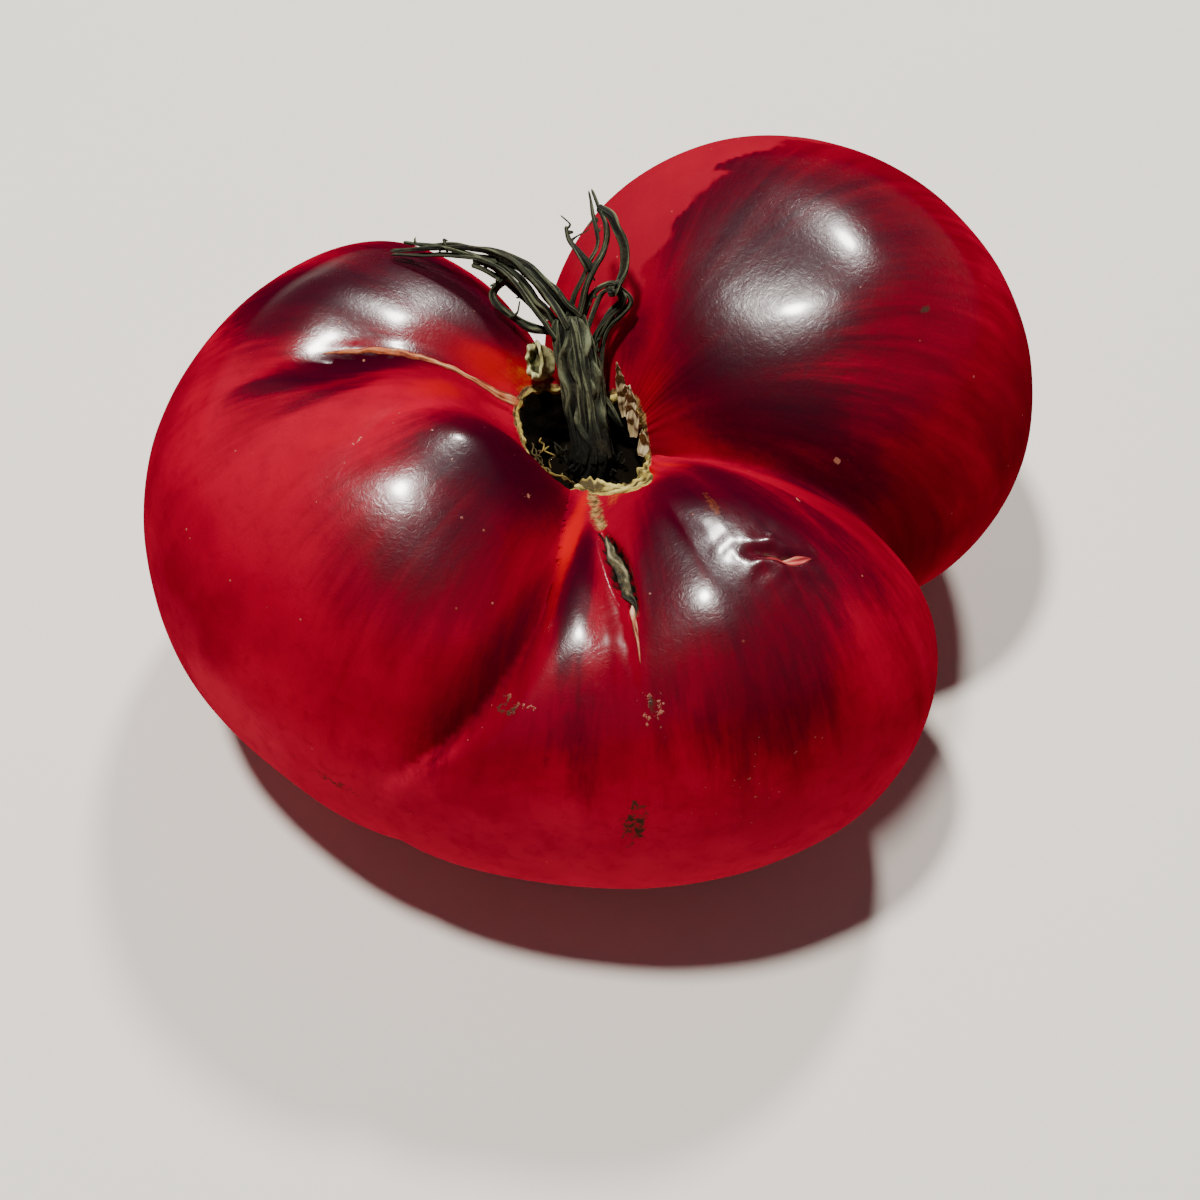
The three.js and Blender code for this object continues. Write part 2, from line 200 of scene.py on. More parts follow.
@dataclass
class Shell:
    """A mesh in the making: points round the stem in millimetres, its faces, and its painted values."""

    points: Array
    quads: Array
    triangles: Array = field(default_factory=lambda: np.zeros((0, 3), int))
    paints: dict[str, Array] = field(default_factory=dict)

    @staticmethod
    def tube(rows: Array, first: Array, last: Array, paints: dict[str, Array] | None = None) -> "Shell":
        """A closed skin over rings of points, with a pole at each end.

        Args:
            rows: Ring after ring of points, rings x around x 3.
            first: The pole before the first ring.
            last: The pole after the last ring.
            paints: Values on the rings, which the poles take from their nearest ring's mean.

        Returns:
            The closed shell.
        """
        rings, around = rows.shape[:2]
        points = np.concatenate([rows.reshape(-1, 3), first[None], last[None]])
        j = np.arange(around)
        right = (j + 1) % around
        foot = (rings - 1) * around
        top_pole, end_pole = rings * around, rings * around + 1
        caps = np.concatenate(
            [
                np.stack([np.full(around, top_pole), j, right], -1),
                np.stack([np.full(around, end_pole), foot + right, foot + j], -1),
            ]
        )
        spread = {}
        for name, value in (paints or {}).items():
            flat = value.reshape(rings * around, -1)
            ends = [value[0].reshape(around, -1).mean(0), value[-1].reshape(around, -1).mean(0)]
            spread[name] = np.concatenate([flat, np.array(ends)]).reshape((-1, *value.shape[2:]))
        return Shell(points, grid_quads(rings, around), caps, spread)

    @staticmethod
    def ring(loops: Array, paints: dict[str, Array] | None = None) -> "Shell":
        """A closed band: loops of points whose cross section closes on itself too.

        Args:
            loops: Points, section x around x 3.
            paints: Values on the same grid.

        Returns:
            The closed shell.
        """
        section, around = loops.shape[:2]
        flat = {n: v.reshape((section * around, *v.shape[2:])) for n, v in (paints or {}).items()}
        return Shell(loops.reshape(-1, 3), grid_quads(section, around, True), paints=flat)

    @staticmethod
    def joined(shells: list["Shell"]) -> "Shell":
        """Several shells as one mesh, with the paints that they all have.

        Args:
            shells: The shells, which need not touch.

        Returns:
            One shell.
        """
        starts = np.cumsum([0] + [len(s.points) for s in shells[:-1]])
        shared = set.intersection(*(set(s.paints) for s in shells))
        return Shell(
            np.concatenate([s.points for s in shells]),
            np.concatenate([s.quads + start for s, start in zip(shells, starts)]),
            np.concatenate([s.triangles + start for s, start in zip(shells, starts)]),
            {n: np.concatenate([s.paints[n] for s in shells]) for n in shared},
        )

    def volume(self) -> float:
        """Signed volume: the sum of each face's tetrahedron with the origin.

        Returns:
            Cubic millimetres, below zero where the faces point inwards.
        """
        p = self.points
        faces = np.concatenate([self.quads[:, [0, 1, 2]], self.quads[:, [0, 2, 3]], self.triangles])
        return float(np.einsum("ij,ij->", p[faces[:, 0]], np.cross(p[faces[:, 1]], p[faces[:, 2]])) / 6)

    def to_object(self, name: str, material: bpy.types.Material, slot: Slot) -> bpy.types.Object:
        """Puts the shell in a Blender mesh that rides with the tomato.

        Args:
            name: The piece's name.
            material: Its finish.
            slot: The record's slot for that finish; not used.

        Returns:
            The new object, at the origin with its place in its mesh.
        """
        quads, triangles = self.quads, self.triangles
        if self.volume() < 0:
            quads, triangles = quads[:, ::-1], triangles[:, ::-1]
        mesh = bpy.data.meshes.new(name)
        corners = np.concatenate([quads.ravel(), triangles.ravel()]).astype(np.int32)
        starts = np.concatenate(
            [np.arange(len(quads)) * 4, len(quads) * 4 + np.arange(len(triangles)) * 3]
        ).astype(np.int32)
        place = (self.points + [STEM_AT[0], STEM_AT[1], 0.0]) * MM
        mesh.vertices.add(len(place))
        mesh.vertices.foreach_set("co", place.astype(np.float32).ravel())
        mesh.loops.add(len(corners))
        mesh.loops.foreach_set("vertex_index", corners)
        mesh.polygons.add(len(starts))
        mesh.polygons.foreach_set("loop_start", starts)
        mesh.update(calc_edges=True)
        mesh.validate()
        mesh.shade_smooth()
        for label, value in self.paints.items():
            kind, key = ("FLOAT_VECTOR", "vector") if value.ndim == 2 else ("FLOAT", "value")
            layer = mesh.attributes.new(label, kind, "POINT")
            layer.data.foreach_set(key, value.astype(np.float32).ravel())
        mesh.materials.append(material)
        piece = bpy.data.objects.new(name, mesh)
        bpy.context.scene.collection.objects.link(piece)
        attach(piece, BODY)
        LOG.info("%s: %d points, %d faces", name, len(place), len(starts))
        return piece


# Shader maths


class Wire:
    """One number running through a shader. Python's operators add the Math nodes."""

    def __init__(self, graph: "Graph", socket: bpy.types.NodeSocket) -> None:
        """Wraps an output socket.

        Args:
            graph: The graph that it belongs to.
            socket: The socket.
        """
        self.graph = graph
        self.socket = socket

    def _math(self, operation: str, *values: "Wire | float") -> "Wire":
        """Adds a Math node that works on values in order."""
        return self.graph.add("ShaderNodeMath", {"operation": operation}, dict(enumerate(values)))

    def __add__(self, other: "Wire | float") -> "Wire":
        """Sum."""
        return self._math("ADD", self, other)

    __radd__ = __add__

    def __sub__(self, other: "Wire | float") -> "Wire":
        """Difference."""
        return self._math("SUBTRACT", self, other)

    def __rsub__(self, other: float) -> "Wire":
        """Difference the other way."""
        return self._math("SUBTRACT", other, self)

    def __mul__(self, other: "Wire | float") -> "Wire":
        """Product."""
        return self._math("MULTIPLY", self, other)

    __rmul__ = __mul__

    def most(self, other: "Wire | float") -> "Wire":
        """The larger of two."""
        return self._math("MAXIMUM", self, other)

    def step(self, low: float, high: float) -> "Wire":
        """A smooth step from 0 at low to 1 at high."""
        sockets = {0: self, 1: low, 2: high}
        return self.graph.add("ShaderNodeMapRange", {"interpolation_type": "SMOOTHSTEP"}, sockets)


class Graph:
    """A material's node tree, with one method that adds any node."""

    def __init__(self, name: str) -> None:
        """Makes an empty material.

        Args:
            name: The material's name.
        """
        self.material = bpy.data.materials.new(name)
        self.material.use_nodes = True
        self.tree = self.material.node_tree
        self.tree.nodes.clear()

    def add(
        self,
        kind: str,
        settings: dict[str, object] | None = None,
        inputs: dict[str | int, object] | None = None,
        output: str | int = 0,
    ) -> Wire:
        """Adds a node.

        Args:
            kind: The node's type.
            settings: Its own settings, set first.
            inputs: Values or wires for its sockets, by name or number.
            output: The socket that the answer wraps.

        Returns:
            The wire from that socket.
        """
        node = self.tree.nodes.new(kind)
        for key, value in (settings or {}).items():
            setattr(node, key, value)
        for key, value in (inputs or {}).items():
            socket = node.inputs[key]
            if isinstance(value, Wire):
                self.tree.links.new(value.socket, socket)
            elif isinstance(value, tuple) and len(value) == 3 and socket.type == "RGBA":
                socket.default_value = (*value, 1.0)
            else:
                socket.default_value = value
        return Wire(self, node.outputs[output])

    def paint(self, name: str) -> Wire:
        """A number painted on the mesh."""
        return self.add("ShaderNodeAttribute", {"attribute_name": name}, output="Fac")

    def flow(self, name: str) -> Wire:
        """A vector painted on the mesh."""
        return self.add("ShaderNodeAttribute", {"attribute_name": name}, output="Vector")

    def place(self) -> Wire:
        """Object coordinates, in metres."""
        return self.add("ShaderNodeTexCoord", output="Object")

    def noise(
        self, where: Wire, size_mm: float, detail: float = 3.0, rough: float = 0.55, warp: float = 0.0
    ) -> Wire:
        """Noise with features of a size.

        Args:
            where: Places in metres.
            size_mm: The features' size.
            detail: Number of finer layers.
            rough: How strong each finer layer is.
            warp: How far the noise bends itself.

        Returns:
            The wire, from 0 to 1 and mostly near a half.
        """
        sockets = {"Vector": where, "Scale": 1.0 / (size_mm * MM), "Detail": detail}
        sockets.update({"Roughness": rough, "Distortion": warp})
        return self.add("ShaderNodeTexNoise", None, sockets)

    def blend(self, share: Wire | float, low: Wire | tuple, high: Wire | tuple) -> Wire:
        """A colour between two, by share."""
        return self.add("ShaderNodeMix", {"data_type": "RGBA"}, {0: share, 6: low, 7: high}, 2)

    def shader(self, base: Wire, rough: Wire, height: Wire, depth_mm: float, **steady: float) -> Wire:
        """A Principled shader with a bump.

        Args:
            base: Base colour.
            rough: Roughness.
            height: Bump height from 0 to 1.
            depth_mm: What a height of 1 stands for.
            steady: Sockets that are the same all over, by their names with _ for a space.

        Returns:
            The wire from the shader.
        """
        relief = {"Strength": 1.0, "Distance": depth_mm * MM, "Height": height}
        bump = self.add("ShaderNodeBump", None, relief)
        sockets: dict[str | int, object] = {"Base Color": base, "Roughness": rough, "Normal": bump}
        sockets.update({key.replace("_", " "): value for key, value in steady.items()})
        return self.add("ShaderNodeBsdfPrincipled", None, sockets)

    def finish(self, shader: Wire) -> bpy.types.Material:
        """Links a shader to the material's output.

        Args:
            shader: The wire from the shader.

        Returns:
            The finished material.
        """
        node = self.tree.nodes.new("ShaderNodeOutputMaterial")
        self.tree.links.new(shader.socket, node.inputs["Surface"])
        return self.material


# Finishes


@dataclass(frozen=True)
class SkinFinish:
    """Glossy ripe skin: crimson, maroon shoulders that fray into streaks, warmer hollows, and painted shade
    and painted bounce light.
    """

    deep: Colour = (0.2, 0.0006, 0.012)
    bright: Colour = (0.32, 0.0005, 0.017)
    # A darker red, for random mottling and for the shade paint, which is partly the skin's darker red and
    # partly painted shade.
    shade: Colour = (0.12, 0.0004, 0.007)
    hollow: Colour = (0.38, 0.001, 0.004)
    amber: Colour = (0.4, 0.1, 0.012)
    maroon: Colour = (0.066, 0.0002, 0.0065)
    purple: Colour = (0.022, 0.0006, 0.0055)
    patch: Colour = (0.25, 0.006, 0.018)
    # Painted bounce light: a lighter red for the low front and left sides.
    dusty: Colour = (0.52, 0.014, 0.042)
    cork: Colour = (0.34, 0.2, 0.07)
    cork_dark: Colour = (0.05, 0.028, 0.014)
    fleck: Colour = (0.42, 0.16, 0.1)
    # Dirt stains, and painted shade in the pinched scar's slit.
    soil: Colour = (0.045, 0.02, 0.012)
    # Near-black painted shade inside the well and in the front scar's pit.
    well: Colour = (0.006, 0.0045, 0.003)
    roughness: float = 0.255
    bump_mm: float = 0.075
    specular: float = 0.42
    coat: float = 0.42
    coat_roughness: float = 0.13
    coat_ior: float = 1.5
    fleck_mm: float = 3.4

    def material(self) -> bpy.types.Material:
        """The skin's nodes, fed by the values painted on its mesh.

        Reds come first: painted bounce light as a lighter red on the low sides, the shade paint, which is
        partly the skin's darker red and partly painted shade, and warm hollows. Then come maroon and purple
        shoulders whose edges fray along the ribs, amber threads, flecks, dirt stains with painted shade in
        the pinched slit, and cork and the near-black painted shade of the well and the scar's pit on top. A
        glossy and a dull shader are mixed by the painted gloss.

        Returns:
            The finished material.
        """
        g = Graph("tomato_skin")
        where = g.place()
        flow = g.flow("flow")
        broad = g.noise(where, 24.0, 2.0)
        cloud = g.noise(where, 7.0, 3.0)
        fine = g.noise(where, 1.1, 3.0, 0.65)
        streak = g.noise(flow, 5.0, 3.0, 0.6)
        thread = g.noise(flow, 1.4, 3.0, 0.7)

        red = g.blend((broad + (cloud - 0.5) * 0.3).step(0.35, 0.68), self.deep, self.bright)
        # Painted bounce light: a lighter red on the low front and left sides.
        red = g.blend((g.paint("dusty") + (cloud - 0.5) * 0.4).step(0.1, 1.1), red, self.dusty)
        mottle = g.noise(where, 2.6, 4.0, 0.65, 0.5)
        red = g.blend(mottle.step(0.45, 0.75) * 0.22, red, self.shade)
        brushed = ((streak - 0.5) * 1.1 + (thread - 0.5) * 0.7) * g.paint("brush")
        # The shade paint: partly the skin's darker red, partly painted shade on the shaded sides of lobes and
        # along creases.
        red = g.blend((g.paint("shade") + brushed).step(0.05, 1.0), red, self.shade)
        red = g.blend((g.paint("hollow") + (cloud - 0.5) * 0.4).step(0.15, 0.95), red, self.hollow)
        red = g.blend(g.paint("patch") * (0.6 + cloud * 0.4), red, self.patch)

        shoulder = g.paint("shoulder")
        frayed = shoulder + brushed + (fine - 0.5) * 0.25 + (cloud - 0.5) * 0.3
        colour = g.blend(frayed.step(0.08, 0.7) * shoulder.step(0.02, 0.3), red, self.maroon)
        colour = g.blend(frayed.step(0.45, 1.1) * 0.9, colour, self.purple)

        amber = g.paint("amber") + (thread - 0.5) * 0.9 + (fine - 0.5) * 0.8
        colour = g.blend(amber.step(0.3, 1.0) * 0.75, colour, self.amber)

        cells = {"Vector": where, "Scale": 1.0 / (self.fleck_mm * MM)}
        dots = g.add("ShaderNodeTexVoronoi", {"feature": "F1"}, cells)
        size = g.noise(where, 3.0, 1.0)
        flecks = (1.0 - (dots + size * 0.07).step(0.06, 0.09)) * g.paint("fleck").step(0.3, 0.9)
        flecks = flecks.most((g.paint("grit") + (fine - 0.5) * 2.2).step(0.62, 0.74))
        colour = g.blend(flecks * 0.7, colour, self.fleck)
        # Dirt stains, and painted shade in the pinched scar's slit.
        colour = g.blend((g.paint("soil") + (fine - 0.5) * 1.6).step(0.45, 0.8), colour, self.soil)

        rough_cork = g.noise(where, 0.9, 4.0, 0.7)
        cork_mask = (g.paint("cork") + (fine - 0.5) * 0.9).step(0.35, 0.65)
        cork = g.blend(rough_cork.step(0.35, 0.65), self.cork_dark, self.cork)
        colour = g.blend(cork_mask, colour, cork)
        # Painted shade: near black inside the well and in the front scar's pit.
        colour = g.blend(g.paint("well").step(0.05, 0.6), colour, self.well)

        rough = self.roughness + (cloud - 0.5) * 0.12 + (fine - 0.5) * 0.1
        rough = rough + (cork_mask + g.paint("well")) * 0.4 + shoulder * 0.03
        peel = g.noise(where, 0.95, 3.0, 0.55, 1.4)
        swell = g.noise(where, 3.4, 2.0, 0.5, 0.6)
        height = peel * 0.4 + swell * 0.5 + thread * 0.05 + cork_mask * rough_cork * 2.0 + flecks * 0.5
        same = {"Subsurface_Weight": 0.05, "Subsurface_Scale": 0.004, "IOR": 1.45}
        coat = {"Coat_Weight": self.coat, "Coat_Roughness": self.coat_roughness, "Coat_IOR": self.coat_ior}
        coat["Specular_IOR_Level"] = self.specular
        glossy = g.shader(colour, rough, height, self.bump_mm, **coat, **same)
        dull = g.shader(colour, rough + 0.25, height, self.bump_mm, Specular_IOR_Level=0.0, **same)
        return g.finish(g.add("ShaderNodeMixShader", None, {0: g.paint("gloss"), 1: dull, 2: glossy}))


@dataclass(frozen=True)
class DryFinish:
    """Dried plant matter: dark where its ridge paint is low, partly painted shade in furrows, pits and down
    by the well, pale on its ridges, with fibres along it.
    """

    name: str
    dark: Colour
    middle: Colour
    pale: Colour
    warm: Colour
    fibre_mm: float
    relief_mm: float

    def material(self) -> bpy.types.Material:
        """The nodes: ridge paint and fibre noise choose the colour, and fibres make the bump.

        Returns:
            The finished material.
        """
        g = Graph(self.name)
        where = g.place()
        flow = g.flow("flow")
        fibre = g.noise(flow, self.fibre_mm, 4.0, 0.65)
        blotch = g.noise(where, 4.0, 3.0, 0.6)
        speck = g.noise(where, 0.5, 3.0, 0.7)
        ridge = g.paint("ridge") + (fibre - 0.5) * 1.1 + (speck - 0.5) * 0.4
        # Low ridge paint gives the dark colour, partly painted shade in furrows, pits and down by the well.
        colour = g.blend(ridge.step(0.15, 0.6), self.dark, self.middle)
        colour = g.blend(ridge.step(0.55, 1.05), colour, self.pale)
        colour = g.blend((blotch + (speck - 0.5) * 0.4).step(0.5, 0.72) * 0.8, colour, self.warm)
        rough = 0.78 + (speck - 0.5) * 0.3
        height = fibre * 0.75 + speck * 0.25
        return g.finish(g.shader(colour, rough, height, self.relief_mm, Specular_IOR_Level=0.3))


@dataclass(frozen=True)
class FloorFinish:
    """A plain pale matt floor."""

    colour: Colour = (0.8, 0.76, 0.7)

    def material(self) -> bpy.types.Material:
        """The nodes: one colour, with a little unevenness.

        Returns:
            The finished material.
        """
        g = Graph("pale_floor")
        cloud = g.noise(g.place(), 60.0, 2.0)
        shade = tuple(0.96 * c for c in self.colour)
        return g.finish(g.shader(g.blend(cloud, shade, self.colour), 0.75 + cloud * 0.1, cloud, 0.02))


CALYX_FINISH = DryFinish(
    "dried_calyx",
    dark=(0.004, 0.004, 0.002),
    middle=(0.026, 0.031, 0.016),
    pale=(0.135, 0.15, 0.08),
    warm=(0.035, 0.03, 0.014),
    fibre_mm=0.42,
    relief_mm=0.35,
)
STALK_FINISH = DryFinish(
    "dried_stalk",
    dark=(0.05, 0.045, 0.015),
    middle=(0.42, 0.4, 0.17),
    pale=(0.62, 0.6, 0.34),
    warm=(0.3, 0.3, 0.09),
    fibre_mm=0.7,
    relief_mm=0.15,
)
HUSK_FINISH = DryFinish(
    "dried_husk",
    dark=(0.09, 0.06, 0.03),
    middle=(0.3, 0.22, 0.11),
    pale=(0.48, 0.39, 0.23),
    warm=(0.24, 0.17, 0.07),
    fibre_mm=1.3,
    relief_mm=0.1,
)
CORK_FINISH = DryFinish(
    "corky_scar",
    dark=(0.045, 0.03, 0.007),
    middle=(0.3, 0.23, 0.05),
    pale=(0.52, 0.44, 0.14),
    warm=(0.32, 0.22, 0.035),
    fibre_mm=0.9,
    relief_mm=0.25,
)
SCAR_FINISH = DryFinish(
    "old_split",
    dark=(0.006, 0.005, 0.003),
    middle=(0.05, 0.043, 0.02),
    pale=(0.25, 0.22, 0.13),
    warm=(0.09, 0.07, 0.03),
    fibre_mm=0.35,
    relief_mm=0.4,
)
LINE_FINISH = DryFinish(
    "healed_line",
    dark=(0.14, 0.02, 0.006),
    middle=(0.42, 0.13, 0.05),
    pale=(0.55, 0.32, 0.16),
    warm=(0.4, 0.08, 0.02),
    fibre_mm=0.6,
    relief_mm=0.15,
)
TAIL_FINISH = DryFinish(
    "scar_tail",
    dark=(0.12, 0.02, 0.01),
    middle=(0.42, 0.16, 0.08),
    pale=(0.6, 0.4, 0.27),
    warm=(0.3, 0.06, 0.03),
    fibre_mm=0.5,
    relief_mm=0.15,
)
LIP_FINISH = DryFinish(
    "pinched_lip",
    dark=(0.16, 0.004, 0.008),
    middle=(0.36, 0.03, 0.03),
    pale=(0.55, 0.24, 0.16),
    warm=(0.22, 0.008, 0.012),
    fibre_mm=0.7,
    relief_mm=0.1,
)


# The fruit's form


@dataclass
class Furrow:
    """A crease that runs out from the well, bending through three azimuths.

    Softness rounds its bottom. Past the crease, counter-clockwise, its width is multiplied by the ratio.
    """

    azimuths: Vec3
    depth: float
    width: float
    fade_from: float
    fade_to: float
    soft: float = 0.4
    past_ratio: float = 1.0


@dataclass
class FruitForm:
    """The fruit's shape as a rule in space: lobed body, back lobe and core, smoothly joined.

    A point's share is how far it is from a form's middle as a part of the way to its skin, so 1 is the
    skin. Each row of stations is azimuth, reach, crest radius and crest height.
    """

    stations: tuple[tuple[float, float, float, float], ...] = (
        (100, 15, 9, 44),
        (110, 22, 12, 47),
        (121, 40, 21, 56),
        (134, 53, 29, 61),
        (152, 60, 31, 63),
        (175, 63, 29, 65),
        (198, 61, 25, 68),
        (220, 56, 21, 68.5),
        (243, 53, 21, 65),
        (262, 52, 23, 60),
        (280, 53, 25, 62),
        (296, 54.5, 26, 64),
        (316, 55.5, 27, 62),
        (333, 52, 25, 57),
        (346, 42, 19, 51),
        (358, 28, 13, 46),
        (375, 16, 9, 42),
        (430, 14, 8, 40),
    )
    widest_height: float = 31.0
    below_floor: float = 2.0
    roundness: float = 2.15
    rim_radius: float = 8.6
    rim_height: float = 52.0
    back_centre: Vec3 = (28.2, 24.1, 35.0)
    back_half: tuple[float, float] = (37.3, 33.6)
    back_up: float = 34.2
    back_down: float = 34.0
    back_turn: float = -45.0
    core_radius: float = 11.5
    core_height: float = 45.0
    blend: float = 26.0
    furrow_radii: Vec3 = (9.0, 27.0, 52.0)
    furrows: tuple[Furrow, ...] = (
        Furrow((252, 260, 240), 0.15, 5.0, 44, 55, 0.5, 0.5),
        Furrow((275, 276.5, 279), 0.07, 3.5, 30, 48),
        Furrow((157, 170.5, 178), 0.07, 3.6, 30, 50),
        Furrow((168, 200, 214), 0.04, 4.5, 18, 40, 1.2),
    )
    furrow_low: float = 4.0
    furrow_rise: float = 26.0
    shallow_start: float = 0.35
    shallow_from: float = 8.5
    shallow_run: float = 6.5
    above: float = 80.0

    def station(self, azimuth: Array, column: int) -> Array:
        """One station value along the periodic cubic curve through the stations.

        Args:
            azimuth: Azimuths in degrees.
            column: 1 for the reach, 2 for the crest's radius and 3 for its height.

        Returns:
            One value for each azimuth.
        """
        rows = np.array(self.stations, float)
        x, y = rows[:, 0], rows[:, column]
        laps = np.concatenate([x - 360, x, x + 360])
        values = np.tile(y, 3)
        slopes = np.zeros_like(laps)
        slopes[1:-1] = (values[2:] - values[:-2]) / (laps[2:] - laps[:-2])
        q = (azimuth - x[0]) % 360 + x[0]
        i = np.clip(np.searchsorted(laps, q, side="right") - 1, 0, len(laps) - 2)
        step = laps[i + 1] - laps[i]
        t = (q - laps[i]) / step
        return hermite(t, values[i], step * slopes[i], values[i + 1], step * slopes[i + 1])

    def body(self, radius: Array, azimuth: Array, height: Array) -> Array:
        """Share of the lobed body: a superellipse section between the crest's radius and the reach.

        Args:
            radius: Distances from the stem's axis.
            azimuth: Azimuths in degrees.
            height: Heights above the floor.

        Returns:
            One share for each place.
        """
        n = self.roundness
        reach, crest = self.station(azimuth, 1), self.station(azimuth, 2)
        rise = self.station(azimuth, 3) - self.widest_height
        above = height > self.widest_height
        spine = np.where(above, crest, crest * smooth(height / self.widest_height))
        rim_rise = np.minimum((self.rim_height - self.widest_height) / rise, 0.9)
        inner = np.maximum(crest - self.rim_radius, 0.5) / (1 - rim_rise**n) ** (1 / n)
        outward = (radius - spine) / np.maximum(reach - spine, 1.0)
        inward = np.where(above, (crest - radius) / inner, 0.0)
        across = np.where(radius > spine, outward, inward)
        offset = height - self.widest_height
        upright = np.where(above, offset / rise, -offset / (self.widest_height + self.below_floor))
        return (np.maximum(across, 0) ** n + np.maximum(upright, 0) ** n) ** (1 / n)

    def back_lobe(self, points: Array) -> Array:
        """Share of the back lobe: an ellipsoid turned about the vertical.

        Args:
            points: Places round the stem.

        Returns:
            One share for each place.
        """
        d = points - np.array(self.back_centre)
        turn = math.radians(self.back_turn)
        along = d[..., 0] * math.cos(turn) + d[..., 1] * math.sin(turn)
        across = d[..., 1] * math.cos(turn) - d[..., 0] * math.sin(turn)
        tall = np.where(d[..., 2] > 0, self.back_up, self.back_down)
        return np.sqrt(
            (along / self.back_half[0]) ** 2 + (across / self.back_half[1]) ** 2 + (d[..., 2] / tall) ** 2
        )

    def core(self, radius: Array, height: Array) -> Array:
        """Share of the core under the well: a superellipsoid of power four."""
        return ((radius / self.core_radius) ** 4 + (np.abs(height) / self.core_height) ** 4) ** 0.25

    def furrow_azimuth(self, furrow: Furrow, radius: Array) -> Array:
        """The parabola through a furrow's three azimuths.

        Args:
            furrow: The furrow.
            radius: Distances from the stem's axis.

        Returns:
            The furrow's azimuth at each distance.
        """
        r0, r1, r2 = self.furrow_radii
        r = np.clip(radius, 6, 58)
        a, b, c = furrow.azimuths
        return (
            a * (r - r1) * (r - r2) / ((r0 - r1) * (r0 - r2))
            + b * (r - r0) * (r - r2) / ((r1 - r0) * (r1 - r2))
            + c * (r - r0) * (r - r1) / ((r2 - r0) * (r2 - r1))
        )

    def press(self, radius: Array, azimuth: Array, height: Array) -> Array:
        """How much the furrows press the skin in: a cusp across each, rounded by softness, faded along it.

        Args:
            radius: Distances from the stem's axis.
            azimuth: Azimuths in degrees.
            height: Heights above the floor.

        Returns:
            What the furrows add to the body's share.
        """
        total = np.zeros_like(radius)
        for furrow in self.furrows:
            apart = turn_gap(azimuth, self.furrow_azimuth(furrow, radius))
            side = radius * np.sin(np.radians(np.clip(apart, -90, 90)))
            width = furrow.width * np.where(side > 0, furrow.past_ratio, 1.0)
            cusp = np.exp(-np.sqrt(side**2 + furrow.soft) / width) * (np.abs(apart) < 90)
            fade = smooth((furrow.fade_to - radius) / (furrow.fade_to - furrow.fade_from))
            total += furrow.depth * cusp * fade
        outward = smooth((radius - self.shallow_from) / self.shallow_run)
        total *= self.shallow_start + (1 - self.shallow_start) * outward
        return total * np.clip((height - self.furrow_low) / self.furrow_rise, 0, 1)

    def field(self, points: Array) -> Array:
        """How far outside the fruit places are: the smooth least of the three shares, less 1.

        The smooth least is minus the logarithm of the sum of e to the minus blend times each share, over
        blend.

        Args:
            points: Places round the stem.

        Returns:
            One value for each place, below zero inside.
        """
        radius, azimuth = polar(points)
        height = points[..., 2]
        body = self.body(radius, azimuth, height) + self.press(radius, azimuth, height)
        shares = np.stack([body, self.back_lobe(points), self.core(radius, height)])
        least = shares.min(0)
        return least - np.log(np.exp(-self.blend * (shares - least)).sum(0)) / self.blend - 1

    def last_crossing(self, point_at: Callable[[Array], Array], limit: Array, step: float) -> Array:
        """The largest distance up to a limit where paths leave the fruit.

        Paths are walked inwards from their limits in steps, and then halved sixteen times.

        Args:
            point_at: Gives the points at distances along the paths.
            limit: Where each path starts.
            step: The walk's step.

        Returns:
            The crossing's distance on each path.
        """
        outside = limit.astype(float).copy()
        open_ = np.ones(limit.shape, bool)
        for _ in range(int(np.max(limit) / step)):
            free = self.field(point_at(outside - step)) > 0
            open_ &= free & (outside > step)
            if not open_.any():
                break
            outside = np.where(open_, outside - step, outside)
        low, high = outside - step, outside.copy()
        for _ in range(16):
            middle = (low + high) / 2
            inside = self.field(point_at(middle)) < 0
            low = np.where(inside, middle, low)
            high = np.where(inside, high, middle)
        return (low + high) / 2

    def normal(self, points: Array) -> Array:
        """Outward directions: the field's slope by central differences.

        Args:
            points: Skin points.

        Returns:
            One unit vector for each point.
        """
        half = 0.05
        slopes = [self.field(points + half * e) - self.field(points - half * e) for e in np.eye(3)]
        return unit(np.stack(slopes, -1))

    def on_top(self, x: Array, y: Array) -> Array:
        """Points of the skin above places of the plan."""
        height = self.last_crossing(lambda z: np.stack([x, y, z], -1), np.full(x.shape, self.above), 1.0)
        return np.stack([x, y, height], -1)


@dataclass
class Blemish:
    """A soft patch on the skin's chart of turn in degrees and share from the well's mouth to below."""

    turn: float
    share: float
    half_turn: float
    half_share: float
    strength: float = 1.0
    slant: float = 0.0

    def cover(self, turn: Array, share: Array) -> Array:
        """Its strength on the chart: a bell with a slightly flattened top.

        Args:
            turn: Turns in degrees.
            share: Shares.

        Returns:
            One strength for each place.
        """
        across = turn_gap(turn, self.turn + self.slant * (share - self.share)) / self.half_turn
        along = (share - self.share) / self.half_share
        return self.strength * np.exp(-((across**2 + along**2) ** 1.4))


# The fruit's skin


@dataclass(frozen=True)
class Mound:
    """A round swelling on the plan, or a dent or a spot: height times e to minus (apart / width) squared."""

    x: float
    y: float
    width: float
    height: float

    def at(self, points: Array) -> Array:
        """Its height at each point."""
        apart = (points[..., 0] - self.x) ** 2 + (points[..., 1] - self.y) ** 2
        return self.height * np.exp(-apart / self.width**2)


